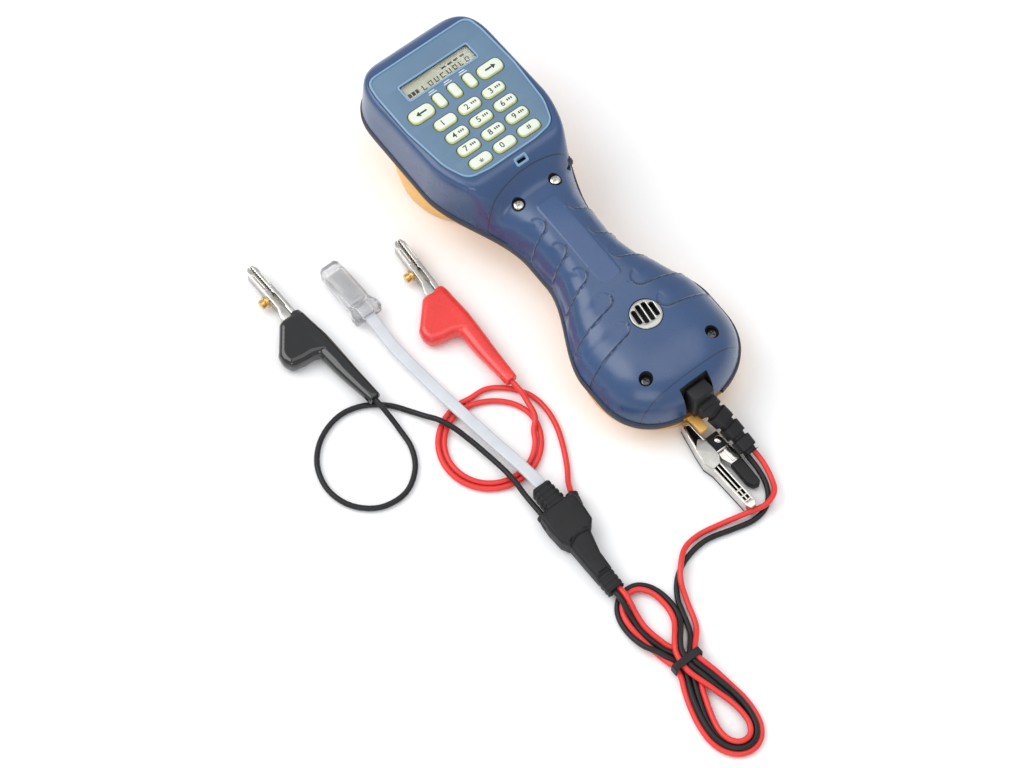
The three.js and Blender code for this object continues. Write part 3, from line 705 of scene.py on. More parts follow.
def plate_outline(grow, steps=6):
    """The face plate's outline, narrowed towards the handle."""
    right = [
        (15.0, 168 - grow),
        (28 + grow * 0.7, 170.2 - grow * 0.7),
        (33.4 + grow, 184),
        (35.9 + grow, 212),
        (35.3 + grow, 239),
        (33.6 + grow, 250.8 + grow),
    ]
    left = [(-x, y) for x, y in reversed(right)]
    return rounded([*right, *left], [30, 9, 26, 40, 26, 8.5, 8.5, 26, 40, 26, 9, 30], steps)


# ---------------------------------------------------------------- housing pieces

EAR_CUP_Y, MOUTH_CUP_Y = 208.0, 51.0
SCREWS_HIDDEN = 2.1  # depth of the wells below the screws' tops
SPEAKER_HOLE = 9.0
UPPER_SCREWS = [(-12.1, 148.5, 49.3), (12.1, 148.5, 49.3)]
LOWER_SCREWS = [(-21.8, 32.7, 38.0), (21.8, 32.7, 38.0)]
SPEAKER = (0.8, 60.2)
SWITCH_Y, SWITCH_Z = 158.0, 42.0
PORT = (1.4, 163.4)
WELL = 3.7  # radius of the screw wells
NOTCH = (-11.2, 6.6, 18.8)  # left side, right side and end of the cord notch in the tail
EDGE = 2.6  # of each housing half, away from the seam
LOWER_NOTCH = 7.4  # half width of the notch in the rear housing and the band


def upper_cutters():
    """Everything that is cut out of the upper housing."""
    parts = [flat(plate_outline(GAP), 60.1, 75, bevel=0.02)]
    parts.append(block(-30.5, 30.5, 172, 240.5, 50, 61))
    parts.append(turned([(38, SPEAKER_HOLE), (80, SPEAKER_HOLE)], (*SPEAKER, 0), sides=64))
    for x, y, z in UPPER_SCREWS + LOWER_SCREWS:
        parts.append(turned([(z - SCREWS_HIDDEN, WELL), (80, WELL)], (x, y, 0)))
    parts.append(block(NOTCH[0], NOTCH[1], 0, NOTCH[2], 0, 70))
    parts.append(block(20, 45, SWITCH_Y - 6.3, SWITCH_Y + 6.3, SWITCH_Z - 2.3, SWITCH_Z + 2.3))
    x, y = PORT
    parts.append(block(x - 3.1, x + 3.1, y - 1.3, y + 1.3, 52, 75))
    return parts


def mark_upper(mesh):
    """Writes where the label recess is, for the finish, and paints shade, in the near-black finish, on the
    walls of wells, slots and notch.
    """
    points = points_of(mesh) / MM
    x, y = points[:, 0], points[:, 1] + MIDDLE_Y
    layer = mesh.attributes.new("inlay", "FLOAT", "POINT")
    layer.data.foreach_set("value", (label_recess(x, y) * (np.abs(x) < 9)).astype(np.float32))
    middles = np.array([f.center for f in mesh.polygons], float) / MM
    x, y = middles[:, 0], middles[:, 1] + MIDDLE_Y
    flatness = np.abs(np.array([f.normal[2] for f in mesh.polygons]))
    # painted shade: faces in the screw wells, the speaker hole, the port and the notch get the near-black
    # finish
    dark = np.zeros(len(x), bool)
    for sx, sy, _ in UPPER_SCREWS + LOWER_SCREWS:
        dark |= np.hypot(x - sx, y - sy) < WELL + 0.02
    dark |= (np.hypot(x - SPEAKER[0], y - SPEAKER[1]) < SPEAKER_HOLE + 0.02) & (middles[:, 2] < 42)
    x0, x1, y1 = NOTCH
    dark |= (x > x0 - 0.02) & (x < x1 + 0.02) & (y < y1 + 0.02) & (y > 12) & (flatness < 0.3)
    dark |= (np.abs(x - PORT[0]) < 3.2) & (np.abs(y - PORT[1]) < 1.4)
    mesh.polygons.foreach_set("material_index", dark.astype(np.int32))


def build_upper_housing(p):
    grid = half_housing(1, EDGE, 440, 196)
    x, y = grid[..., 0], grid[..., 1]
    pads, pad_lines = pad_relief(x, y)
    rise = pads - 0.4 * pad_lines - 0.3 * label_recess(x, y)
    rise = rise * ease(0.5, 4.0, grid[..., 2] - (seam_height(y) + EDGE)) * (y > 15)
    grid = grid + grid_normals(grid) * rise[..., None]
    mesh = closed_grid(grid)
    tidy(mesh, 35, 2e-6)
    for cutter in upper_cutters():
        mesh = cut(mesh, cutter)
    tidy(mesh, 50, 1.2e-5, recalculate=False)
    mark_upper(mesh)
    piece_of("housing_upper", mesh, [FINISH["shell"], FINISH["hole"]], nodes=["upper_shell"], slot="blue_shell")


def build_gasket(p):
    """The rubber band at the seam, open at the cord notch."""
    ys = stations(150, TAIL_END + 0.001, HEAD_END - 0.001)
    right = [(float(half_width(y)), y) for y in ys if half_width(y) > LOWER_NOTCH + 0.2 or y > 100]
    left = [(-x, y) for x, y in reversed(right)]
    line = np.array(right + left)
    steps = np.linalg.norm(np.diff(line, axis=0), axis=1)
    keep = np.concatenate([[True], steps > 1e-4])
    line = line[keep]
    run = np.concatenate([[0], np.cumsum(np.linalg.norm(np.diff(line, axis=0), axis=1))])
    even = np.linspace(0, run[-1], 520)
    line = np.stack([np.interp(even, run, line[:, 0]), np.interp(even, run, line[:, 1])], 1)
    tangent = np.gradient(line, axis=0)
    tangent /= np.linalg.norm(tangent, axis=1, keepdims=True)
    outward = np.stack([tangent[:, 1], -tangent[:, 0]], 1)
    section = [(-3, -2.3), (0.2, -2.3), (0.62, -2.1), (0.8, -1.6), (0.8, 1.0), (0.74, 1.35), (0.45, 1.5)]
    section += [(0.42, 1.75), (0.5, 2.1), (0.2, 2.3), (-3, 2.3)]
    points = []
    for (x, y), (nx, ny) in zip(line, outward):
        for across, up in section:
            points.append((x + nx * across, y + ny * across, float(seam_height(y)) + up))
    mesh = mesh_of(points, tube_faces(len(line), len(section)))
    tidy(mesh, 30, 2e-6)
    piece_of("seam_band", mesh, [FINISH["seam"]], nodes=["seam_gasket"], slot="seam_rubber")


def build_rear_housing(p):
    mesh = closed_grid(half_housing(-1, EDGE, 200, 90))
    tidy(mesh, 35, 2e-6)
    for y, radius in ((EAR_CUP_Y, 39.5), (MOUTH_CUP_Y, 40.0)):
        top = float(seam_height(y)) - 2.9
        profile = [(0, 0.01), (0, 20), (0.5, 22), (0.5, 24), (0, 26), (0, radius - 5.5)]
        profile += [(0.5, radius - 3.2), (2.0, radius - 2.0), (12, radius - 0.2), (13.5, radius)]
        profile += [(top - 1.5, radius), (top, radius - 0.4), (top, 0.01)]
        mesh = cut(mesh, turned(profile, (0, y, 0), sides=120), "UNION")
    corners = [(x, y, float(seam_height(y)) + h) for x in (-60, 60) for y in (-10, 290) for h in (-EDGE, 60)]
    lid = mesh_of(corners, [(0, 1, 3, 2), (4, 6, 7, 5), (0, 4, 5, 1), (2, 3, 7, 6), (0, 2, 6, 4), (1, 5, 7, 3)])
    tidy(lid)
    mesh = cut(mesh, lid)
    mesh = cut(mesh, block(-LOWER_NOTCH, LOWER_NOTCH, 0, 24, 13.5, 60))
    hole = [(-1, 1.2), (3.5, 1.2)]
    for y, ring in ((EAR_CUP_Y, 7.0), (MOUTH_CUP_Y, 5.0)):
        holes = [turned(hole, (0, y, 0), sides=20)]
        for k in range(6):
            a = k * math.pi / 3
            centre = (ring * math.cos(a), y + ring * math.sin(a), 0)
            holes.append(turned(hole, centre, sides=20))
        mesh = cut(mesh, joined(holes))
    tab = joined([block(-9.6, -4.4, 1.4, 14, 9.9, 12.6, 0.6, 3), block(-8.6, -3.6, 9.6, 14, 3, 12.2, 0.5)])
    mesh = joined([mesh, tab])
    tidy(mesh, 35, 4e-6, recalculate=False)
    piece_of("housing_rear", mesh, [FINISH["amber"]], nodes=["rear_shell"], slot="amber_shell")


# ---------------------------------------------------------------- face

KEY_PITCH_X, KEY_PITCH_Y, FIRST_ROW = 15.9, 9.9, 205.0
WINDOW_Y = 231.8
KEY_TOP = 63.4
RIM_TOP = 62.35  # of the window's rim and the keys' feet
INK = 0.04  # half the thickness of an ink mark
FILM_TOP = 59.4
LEGENDS = ["1", "2", "3", "4", "5", "6", "7", "8", "9", "*", "0", "#"]
LEGEND_NAMES = {"*": "star", "#": "hash"}


def key_places():
    """Name, middle, width, height and legend of each key."""
    places = []
    for i, legend in enumerate(LEGENDS):
        x = ((i % 3) - 1) * KEY_PITCH_X
        y = FIRST_ROW - (i // 3) * KEY_PITCH_Y
        places.append(("key_" + LEGEND_NAMES.get(legend, legend), x, y, 13.2, 6.8, legend))
    places.append(("key_recall", -22.7, 216.6, 15.0, 8.6, "left"))
    places.append(("key_line", 22.7, 216.6, 15.0, 8.6, "right"))
    for side in (-1, 0, 1):
        places.append((f"soft_key_{side + 2}", side * 10.0, 217.4, 5.6, 9.6, "soft"))
    return places


def pill(x, y, width, height, grow=0.0):
    return rectangle(x, y, width + 2 * grow, height + 2 * grow, min(width, height) / 2 + grow, 7)


def lettering(text, x, y, z, size):
    """A digit or sign as a thin raised mesh, centred on x and y."""
    curve = bpy.data.curves.new("sign", "FONT")
    curve.body = text
    curve.size = size
    curve.extrude = INK
    curve.offset = 0.035 * size / 4
    curve.resolution_u = 3
    curve.align_x = "CENTER"
    curve.align_y = "CENTER"
    mesh = evaluated(link(bpy.data.objects.new("sign", curve)))
    points = points_of(mesh)
    middle = (points.min(0) + points.max(0)) / 2
    set_points(mesh, points - [middle[0], middle[1], 0] + [x, y, z])
    tidy(mesh, 30, 1e-7, recalculate=False)
    return mesh


def dash(x, y, z, width, height):
    return flat(rectangle(x, y, width, height, height * 0.45, 2), z - INK, z + INK, bevel=0.01, steps=1)


def key_marks(x, y, legend):
    """The ink on a key: its digit and a row of small plain ticks beside it."""
    top = KEY_TOP
    if legend == "soft":
        return []
    if legend in ("left", "right"):
        turn = -1 if legend == "left" else 1
        arrow = [(x + turn * 3.4, y), (x + turn * 1.0, y + 1.7), (x + turn * 1.0, y - 1.7)]
        head = flat(rounded(arrow, 0.2, 2), top - INK, top + INK, bevel=0.01, steps=1)
        return [head, dash(x - turn * 1.2, y, top, 4.4, 1.0)]
    if legend in "*#":
        return [lettering(legend, x, y - (0.9 if legend == "*" else 0), top, 5.6 if legend == "*" else 4.2)]
    marks = [lettering(legend, x - 1.9, y, top, 4.9)]
    if legend not in "01":
        marks += [dash(x + 1.4 + 1.25 * k, y + 0.2, top, 0.75, 1.5) for k in range(3)]
    return marks


def build_keys(p):
    for name, x, y, width, height, legend in key_places():
        cap = painted(flat(pill(x, y, width, height, -0.35), 60.8, KEY_TOP, bevel=0.85, steps=4), 0)
        foot = painted(flat(pill(x, y, width, height), 58.6, RIM_TOP, bevel=0.3, steps=2), 1)
        mesh = assembled([cap, foot, *[painted(mark, 2) for mark in key_marks(x, y, legend)]], 40)
        finishes = [FINISH["key"], FINISH["key_foot"], FINISH["legend"]]
        piece_of("cap_" + name, mesh, finishes, body=name, nodes=[name], slot="key_rubber")


def build_face_plate(p):
    holes = [pill(x, y, w, h, 0.4) for _, x, y, w, h, _ in key_places()]
    holes.append(rectangle(0, WINDOW_Y, 44.6, 10.2, 0.8, 3))
    plate = painted(flat(plate_outline(0), 60.4, 62.0, holes, bevel=0.18, steps=2), 0)
    # painted highlight: the raised rim round the plate takes the lighter rim finish
    outer, inner = plate_outline(-0.15), plate_outline(-1.25)
    rim = painted(flat(outer, 61.7, 62.55, [inner], bevel=0.36, steps=3), 1)
    inside = rectangle(0, WINDOW_Y, 44.4, 10.0, 0.8, 3)
    bezel = flat(rectangle(0, WINDOW_Y, 46.4, 12.0, 1.6, 4), 61.8, RIM_TOP, [inside], bevel=0.2)
    # painted highlight: the window bezel also takes the lighter rim finish
    parts = [plate, rim, painted(bezel, 1)]
    for side in (-1, 0, 1):
        for row, width in ((0, 5.2), (1, 3.8)):
            parts.append(painted(dash(side * 10.0, 223.4 + row * 1.3, 62.02, width, 0.55), 2))
    mesh = assembled(parts)
    finishes = [FINISH["plate"], FINISH["rim"], FINISH["white_ink"]]
    piece_of("keypad_plate", mesh, finishes, nodes=["face_plate"], slot="face_plate")


def build_display(p):
    """The display: its film with plain segments, under a clear window."""
    film = painted(block(-24.8, 24.8, 225, 238.8, 56, FILM_TOP, 0.2), 0)
    marks = [(-20.4 + 2.3 * k, -18.7 + 2.3 * k, 229.2, 231.6) for k in range(3)]
    marks += [(3.5 + 4.0 * k, 6.2 + 4.0 * k, 233.2, 234.2) for k in range(4)]
    for k in range(8):
        x = -11.5 + 4.0 * k
        marks += [(x, x + 0.55, 228.6, 231.6), (x, x + 2.2, 228.6, 229.1)]
        if k % 3:
            marks.append((x + 1.9, x + 2.45, 229.6, 231.6))
        if k % 2:
            marks.append((x, x + 2.2, 231.1, 231.6))
    mesh = assembled([film, *[painted(block(*mark, FILM_TOP, FILM_TOP + 0.1), 1) for mark in marks]])
    finishes = [FINISH["display"], FINISH["segment"]]
    piece_of("display_film_piece", mesh, finishes, nodes=["display_module"], slot="display_module")
    window = flat(rectangle(0, WINDOW_Y, 44.0, 9.6, 0.7, 3), 60.3, 61.1, bevel=0.15)
    piece_of("display_cover", window, [FINISH["window"]], nodes=["display_window"], slot="display_glass")


def build_small_face_parts(p):
    """The port with its rim below the keypad, and the slider of the side switch."""
    x, y = PORT

    def leaning(points):
        return np.stack([points[:, 0], points[:, 1], points[:, 2] + 0.6 * (points[:, 1] - y)], 1)

    inside = rectangle(x, y, 5.4, 2.1, 0.5, 3)
    ring = flat(rectangle(x, y, 7.8, 4.2, 0.9, 3), 58.6, 61.0, [inside], bevel=0.3, place=leaning)
    # painted shade: a near-black block fills the port under its ring
    plug = block(x - 2.9, x + 2.9, y - 1.2, y + 1.2, 53, 57.6)
    mesh = joined([painted(ring, 0), painted(plug, 1)])
    piece_of("port_frame", mesh, [FINISH["rim"], FINISH["hole"]], slot="blue_shell")
    low = SWITCH_Y - 4
    slider = block(24, 28.9, low, low + 8, SWITCH_Z - 2, SWITCH_Z + 2, 0.5)
    ridges = [block(28.4, 29.2, low + 1.4 + 1.5 * k, low + 2.1 + 1.5 * k, 40.4, 43.6, 0.2) for k in range(4)]
    mesh = assembled([slider, *ridges])
    names = {"body": "mode_switch", "nodes": ["mode_switch"], "slot": "black_plastic"}
    piece_of("switch_slider", mesh, [FINISH["seam"]], **names)


# ---------------------------------------------------------------- screws and speaker


def group(name, sizes):
    """An empty Geometry Nodes tree with its mesh in and out, and named inputs for its sizes."""
    made = bpy.data.node_groups.new(name, "GeometryNodeTree")
    made.interface.new_socket("Geometry", in_out="INPUT", socket_type="NodeSocketGeometry")
    made.interface.new_socket("Geometry", in_out="OUTPUT", socket_type="NodeSocketGeometry")
    for size, (kind, default) in sizes.items():
        socket = made.interface.new_socket(size, in_out="INPUT", socket_type=kind)
        if default is not None:
            socket.default_value = default
    tree = Tree(made)
    return tree, tree.node("NodeGroupInput"), tree.node("NodeGroupOutput")


def grown(tree, base, values):
    """The mesh that a Geometry Nodes tree makes from base."""
    obj = link(bpy.data.objects.new("seed", base))
    modifier = obj.modifiers.new("grow", "NODES")
    modifier.node_group = tree.tree
    sockets = {i.name: i.identifier for i in tree.tree.interface.items_tree if i.in_out == "INPUT"}
    for name, value in values.items():
        modifier[sockets[name]] = value
    obj.update_tag()
    return evaluated(obj)


def handed_out(tree, given, out, geometry):
    """Makes the geometry real, gives it the tree's finish and links it to the output."""
    real = tree.node("GeometryNodeRealizeInstances", {"Geometry": geometry})
    dressing = {"Geometry": real.outputs["Geometry"], "Material": given.outputs["Finish"]}
    dressed = tree.node("GeometryNodeSetMaterial", dressing)
    tree.tree.links.new(dressed.outputs["Geometry"], out.inputs["Geometry"])


def set_on_points(name, part, points, finish):
    """A copy of part, which is drawn about the frame's origin, on each point."""
    tree, given, out = group(name, {"Part": ("NodeSocketObject", None), "Finish": ("NodeSocketMaterial", None)})
    info = tree.node("GeometryNodeObjectInfo", {"Object": given.outputs["Part"]})
    copies = tree.node(
        "GeometryNodeInstanceOnPoints",
        {"Points": given.outputs["Geometry"], "Instance": info.outputs["Geometry"]},
    )
    handed_out(tree, given, out, copies.outputs["Instances"])
    source = link(bpy.data.objects.new("part", part))
    mesh = grown(tree, mesh_of(points), {"Part": source, "Finish": finish})
    bpy.data.objects.remove(source)
    return mesh


def cross_head(radius=2.8, height=1.8):
    """A domed screw head with a cross recess, its top at height 0."""
    y0 = MIDDLE_Y
    profile = [(-height, 0.01), (-height, radius - 0.15), (-height + 0.15, radius), (-0.75, radius)]
    profile += [(-0.4, radius * 0.93), (-0.12, radius * 0.75), (0, radius * 0.45), (0, 0.01)]
    head = turned(profile, (0, y0, 0), sides=40)
    slots = []
    for turn in (0.35, 0.35 + math.pi / 2):
        c, s = math.cos(turn), math.sin(turn)

        def place(points, c=c, s=s):
            x, y = points[:, 0].copy(), points[:, 1] - y0
            return np.stack([x * c - y * s, x * s + y * c + y0, points[:, 2]], 1)

        slots.append(block(-0.42, 0.42, y0 - 1.75, y0 + 1.75, -1.0, 1, place=place))
    for slot in slots:
        head = cut(head, slot)
    head = cut(head, turned([(-1.2, 0.35), (-0.7, 0.75), (1, 0.95)], (0, y0, 0), sides=16))
    tidy(head, 30, 4e-6, recalculate=False)
    return head


def build_screws(p):
    rows = [
        ("upper", "screws_by_keypad", cross_head(), UPPER_SCREWS, "nickel", "nickel"),
        ("lower", "screws_at_tail", cross_head(2.7), LOWER_SCREWS, "steel_black", "black_steel"),
    ]
    for row, name, head, places, finish, slot in rows:
        mesh = set_on_points(f"{row}_case_screws", head, places, FINISH[finish])
        mesh.set_sharp_from_angle(angle=math.radians(30))
        nodes = [f"{row}_screw_left", f"{row}_screw_right"]
        piece_of(name, mesh, [FINISH[finish]], nodes=nodes, slot=slot)
    # painted shade: a near-black ring lines the foot of each screw well
    low, high, radius = SCREWS_HIDDEN - 0.05, SCREWS_HIDDEN - 0.25, WELL - 0.05
    places = UPPER_SCREWS + LOWER_SCREWS
    rings = [turned([(z - low, radius), (z - high, radius)], (x, y, 0)) for x, y, z in places]
    piece_of("screw_wells", joined(rings), [FINISH["hole"]], slot="blue_shell")


def build_speaker(p):
    x0, y0 = SPEAKER
    slots = []
    c, s = math.cos(math.radians(-8)), math.sin(math.radians(-8))
    for side, shift in ((-1.5, 0.6), (-0.5, 0.9), (0.5, 0.9), (1.5, 0.6)):
        reach = 6.4 - abs(side) * 1.5
        line = rectangle(side * 3.5, shift, 2.3, reach * 2, 1.15, 6)
        slots.append([(x0 + x * c - y * s, y0 + x * s + y * c) for x, y in line])
    disc = flat(circle(x0, y0, 8.7, 72), 40.5, 43.4, slots, bevel=0.7, steps=4)
    piece_of("speaker_cover", disc, [FINISH["nickel_dull"]], nodes=["speaker_grille"], slot="nickel")
    cone = turned([(31, 11), (37.4, 11), (37.8, 10.4), (37.8, 7), (36.8, 3), (37.2, 0.01)], (x0, y0, 0))
    piece_of("speaker_cone", cone, [FINISH["black"]], nodes=["loudspeaker"], slot="black_plastic")


# ---------------------------------------------------------------- strain relief and belt clip


def ribbed_sleeve(route, radii, ribs, groove, finish):
    """Geometry Nodes: a sleeve along a line, drawn in to grooves between its ribs."""
    sizes = {
        "Start Radius": ("NodeSocketFloat", radii[0]),
        "End Radius": ("NodeSocketFloat", radii[1]),
        "Ribs": ("NodeSocketFloat", ribs),
        "Groove": ("NodeSocketFloat", groove),
        "Finish": ("NodeSocketMaterial", None),
    }
    tree, given, out = group("ribbed_sleeve", sizes)
    line = tree.node("GeometryNodeMeshToCurve", {"Mesh": given.outputs["Geometry"]})
    even = tree.node("GeometryNodeResampleCurve", {"Curve": line.outputs["Curve"], "Count": 260})
    place = tree.node("GeometryNodeSplineParameter").outputs["Factor"]
    taper = tree.node(
        "ShaderNodeMapRange",
        {"Value": place, "To Min": given.outputs["Start Radius"], "To Max": given.outputs["End Radius"]},
    )
    part = tree.sum("FRACT", tree.sum("MULTIPLY", place, given.outputs["Ribs"]))
    both = tree.sum("MULTIPLY", tree.mapped(part, 0.7, 0.74), tree.mapped(part, 0.96, 1.0, 1.0, 0.0))
    dip = tree.sum("MULTIPLY", both, given.outputs["Groove"])
    radius = tree.sum("SUBTRACT", taper.outputs[0], dip)
    sized = tree.node("GeometryNodeSetCurveRadius", {"Curve": even.outputs["Curve"], "Radius": radius})
    square = tree.node("GeometryNodeCurvePrimitiveQuadrilateral", {"Width": 2.0, "Height": 1.76})
    ring = tree.node(
        "GeometryNodeFilletCurve", {"Curve": square.outputs["Curve"], "Radius": 0.55, "Count": 5}, mode="POLY"
    )
    skin = tree.node(
        "GeometryNodeCurveToMesh",
        {"Curve": sized.outputs["Curve"], "Profile Curve": ring.outputs["Curve"], "Fill Caps": True},
    )
    if "Scale" in skin.inputs:
        tree.tree.links.new(radius, skin.inputs["Scale"])
    handed_out(tree, given, out, skin.outputs["Mesh"])
    route = catmull(route, 8)
    base = mesh_of(route, edges=[(i, i + 1) for i in range(len(route) - 1)])
    values = {name: default for name, (kind, default) in sizes.items()}
    values["Finish"] = finish
    mesh = grown(tree, base, values)
    tidy(mesh, 35, 1e-6)
    return mesh


RELIEF_ROUTE = [(-0.8, 11.0, 22.6), (0.4, 7, 20), (2.5, 0, 16), (4.2, -9, 11.3), (5.1, -21.4, 7.0)]


def build_strain_relief(p):
    sleeve = ribbed_sleeve(RELIEF_ROUTE, (5.9 * MM, 4.7 * MM), 4.0, 1.5 * MM, FINISH["rubber"])
    head = block(-8.2, 4.4, 8.8, 17.8, 15, 33.4, 1.4, 3)
    step = block(-6.0, 4.6, 5.6, 10.4, 14.6, 27.4, 1.4, 3)
    mesh = assembled([sleeve, head, step], 35)
    piece_of("cord_sleeve", mesh, [FINISH["rubber"]], nodes=["strain_relief"], slot="black_rubber")


CLIP_PIVOT = (-3, -5)


def build_belt_clip(p):
    """The fixed jaw of the belt clip with its pin, and the lever with its dipped grip."""
    jaw = [(-13.4, 12.6), (-9.4, 11.6), (-9.2, -12.6), (-11.2, -16.6), (-11.2, -43.4), (-12.4, -45.6)]
    jaw += [(-15.8, -45.6), (-17.0, -43), (-17.2, -18), (-18.6, -12), (-17.2, -4)]
    channel = [(-12.6, 10.4), (-10.5, 9.8), (-10.4, -12.2), (-12.3, -16.6), (-12.3, -41.6), (-15.5, -41.6)]
    channel += [(-15.8, -17.4), (-17.2, -12), (-15.8, -4)]
    # painted shade: the sole is near-black, so the open channel between the bright walls looks shaded
    sole = painted(flat(rounded(jaw, 0.8, 3), 0.5, 2.0, bevel=0.2), 1)
    walls = flat(rounded(jaw, 0.8, 3), 1.9, 9.2, [rounded(channel, 0.6, 3)], bevel=0.3)
    top = [(-16.8, -3.4), (-12.2, 1.0), (-9.4, -2.6), (-9.2, -12.8), (-11.8, -16.8), (-17.0, -17.4)]
    hood = painted(flat(rounded([*top, (-18.4, -12)], 0.9, 3), 8.9, 9.7, bevel=0.25, steps=3), 2)
    bar = [(-14.5, -16), (-13.6, -16), (-13.6, -42), (-14.5, -42)]
    middle = flat(rounded(bar, 0.3, 2), 1.9, 9.0, bevel=0.25)
    bars = [block(-16.6, -11.6, y, y + 1.0, 5, 9.1, 0.25) for y in (-34.6, -38.4, -41.4)]
    foot = flat(rounded([(-10, -9), (-1, -9), (-1, -2), (-10, -2)], 0.6, 3), 0.4, 1.1, bevel=0.15)
    pad = painted(block(-8.4, -0.6, -9.4, -0.4, 5.75, 6.5, 0.2), 1)
    lips = [block(-9.2, -8.3, -10.2, 0.2, 5.2, 7.6, 0.25), block(-9.0, -0.4, -10.6, -9.7, 5.75, 7.2, 0.25)]
    pin_profile = [(0.5, 1.15), (6.4, 1.15), (6.4, 2.2), (7.1, 2.15), (7.5, 1.6), (7.6, 0.01)]
    pin = turned(pin_profile, (*CLIP_PIVOT, 0), sides=32)
    mesh = assembled([sole, walls, hood, middle, *bars, foot, pad, *lips, pin])
    finishes = [FINISH["nickel"], FINISH["hole"], FINISH["nickel_dull"]]
    piece_of("belt_clip_jaw", mesh, finishes, nodes=["clip_fixed_jaw"], slot="nickel")
    arm_line = [(-6, -1.5), (0, -1.5), (0, -8), (1, -16), (0.4, -20), (-6, -20), (-8.2, -14)]
    arm = painted(flat(rounded(arm_line, 0.7, 3), 1.4, 5, [circle(*CLIP_PIVOT, 1.5, 28)], bevel=0.35), 0)
    dip_line = [(-6.6, -19), (0.4, -19), (-0.4, -35), (-2.4, -37), (-5.6, -36), (-7.2, -32)]
    dip = painted(flat(rounded(dip_line, 1.0, 4), 1, 5.6, bevel=1.1, steps=4), 1)
    rib_line = [(-4.6, -9), (-1.4, -9), (-1.6, -18.4), (-4.8, -18.4)]
    rib = painted(flat(rounded(rib_line, 0.5, 3), 4.8, 5.6, bevel=0.25), 0)
    mesh = assembled([arm, dip, rib])
    finishes = [FINISH["nickel"], FINISH["rubber"]]
    piece_of("belt_clip_lever", mesh, finishes, body="clip_lever", nodes=["clip_lever"], slot="nickel")


# ---------------------------------------------------------------- lead clips

LEAD_CLIPS = [
    {"name": "black", "x": -131.9, "y": 184.3, "turn": 1.0, "vinyl": "vinyl_black", "slot": "black_vinyl"},
    {"name": "red", "x": -64.5, "y": 149.0, "turn": -4.2, "vinyl": "vinyl_red", "slot": "red_vinyl"},
]


def clip_place(clip):
    """Turns points drawn about a clip's pivot into the drawing."""
    c, s = math.cos(math.radians(clip["turn"])), math.sin(math.radians(clip["turn"]))

    def place(points):
        points = np.asarray(points, float).reshape(-1, 3)
        x, y = points[:, 0], points[:, 1]
        return np.stack([clip["x"] + x * c - y * s, clip["y"] + x * s + y * c, points[:, 2]], 1)

    return place


def toothed(side, low, high):
    """The wavy inner edge of a jaw, from low to high."""
    pitch, bite = 1.5, 0.45
    line, y = [], low
    while y <= high:
        line.append((side * (0.3 + (bite if len(line) % 2 else 0)), y))
        y += pitch / 2
    return line


def half_jaw(side, place):
    """The fixed jaw for side 1, the moving one for side -1."""
    if side > 0:
        outline = [(0.3, -6), (2.9, -6), (3.0, 20), (2.9, 38), (1.6, 40.6), (0.3, 40.6)]
    else:
        outline = [(-4.6, 1), (-5.6, 6), (-3.5, 12), (-3.4, 38), (-1.6, 40.6), (-0.3, 40.6)]
    teeth = toothed(side, 22.0, 39.6)[::-1]
    bay = [(side * 0.3, 21), (side * 1.0, 20), (side * 1.0, 11), (side * 0.3, 10)]
    line = outline + teeth + bay + ([(-0.3, 1)] if side < 0 else [])
    body = flat(line, 2.6, 9.2, bevel=0.22, steps=2, place=place)
    window = rectangle(side * 1.9, 30, 1.0, 9, 0.4, 3)
    strip = [(side * 0.9, 24), (side * 2.9, 24), (side * 2.8, 37), (side * 0.9, 38)]
    if side < 0:
        strip = strip[::-1]
    top = flat(rounded(strip, 0.3, 2), 9.1, 9.5, [window], bevel=0.12, place=place)
    return assembled([body, top])


def knurled_screw(place):
    """A turned thumb screw with a knurled grip, made by Geometry Nodes."""
    y0, z0 = 20.0, 5.9
    centre = Vector(place([(0, y0, z0)])[0])
    axis = Vector(place([(-1, y0, z0)])[0]) - centre
    shank = [(0.7, 0.01), (0.7, 1.1), (4.2, 1.1), (4.2, 3.1), (4.5, 3.3), (5.5, 3.3), (5.8, 3.1)]
    grip = [(5.8, 1.9), (6.3, 1.9), (6.3, 2.3), (6.5, 2.45), (8.4, 2.45), (8.6, 2.3), (8.7, 1.6), (8.7, 0.01)]
    body = turned(shank + grip, centre, axis, 40)
    sizes = {
        "Count": ("NodeSocketInt", 26),
        "Ring": ("NodeSocketFloat", 3.22 * MM),
        "Finish": ("NodeSocketMaterial", None),
    }
    tree, given, out = group("knurl", sizes)
    counted = {"Vertices": given.outputs["Count"], "Radius": given.outputs["Ring"]}
    ring = tree.node("GeometryNodeMeshCircle", counted)
    ridge = tree.node("GeometryNodeMeshCube", {"Size": (0.34 * MM, 0.34 * MM, 0.95 * MM)})
    where = tree.node("GeometryNodeInputPosition").outputs["Position"]
    turn = tree.node("FunctionNodeAlignRotationToVector", {"Vector": where}, axis="X")
    copies = tree.node(
        "GeometryNodeInstanceOnPoints",
        {
            "Points": ring.outputs["Mesh"],
            "Instance": ridge.outputs["Mesh"],
            "Rotation": turn.outputs["Rotation"],
        },
    )
    handed_out(tree, given, out, copies.outputs["Instances"])
    parts = [body]
    for along, ring_size, count in ((5.0, 3.22, 26), (7.45, 2.4, 20)):
        values = {"Count": count, "Ring": ring_size * MM, "Finish": FINISH["brass"]}
        ridges = grown(tree, bpy.data.meshes.new("seed"), values)
        spot = Vector(in_frame([tuple(centre + axis * along)])[0])
        ridges.transform(Matrix.Translation(spot) @ axis.to_track_quat("Z", "Y").to_matrix().to_4x4())
        parts.append(ridges)
    return assembled(parts, 32)


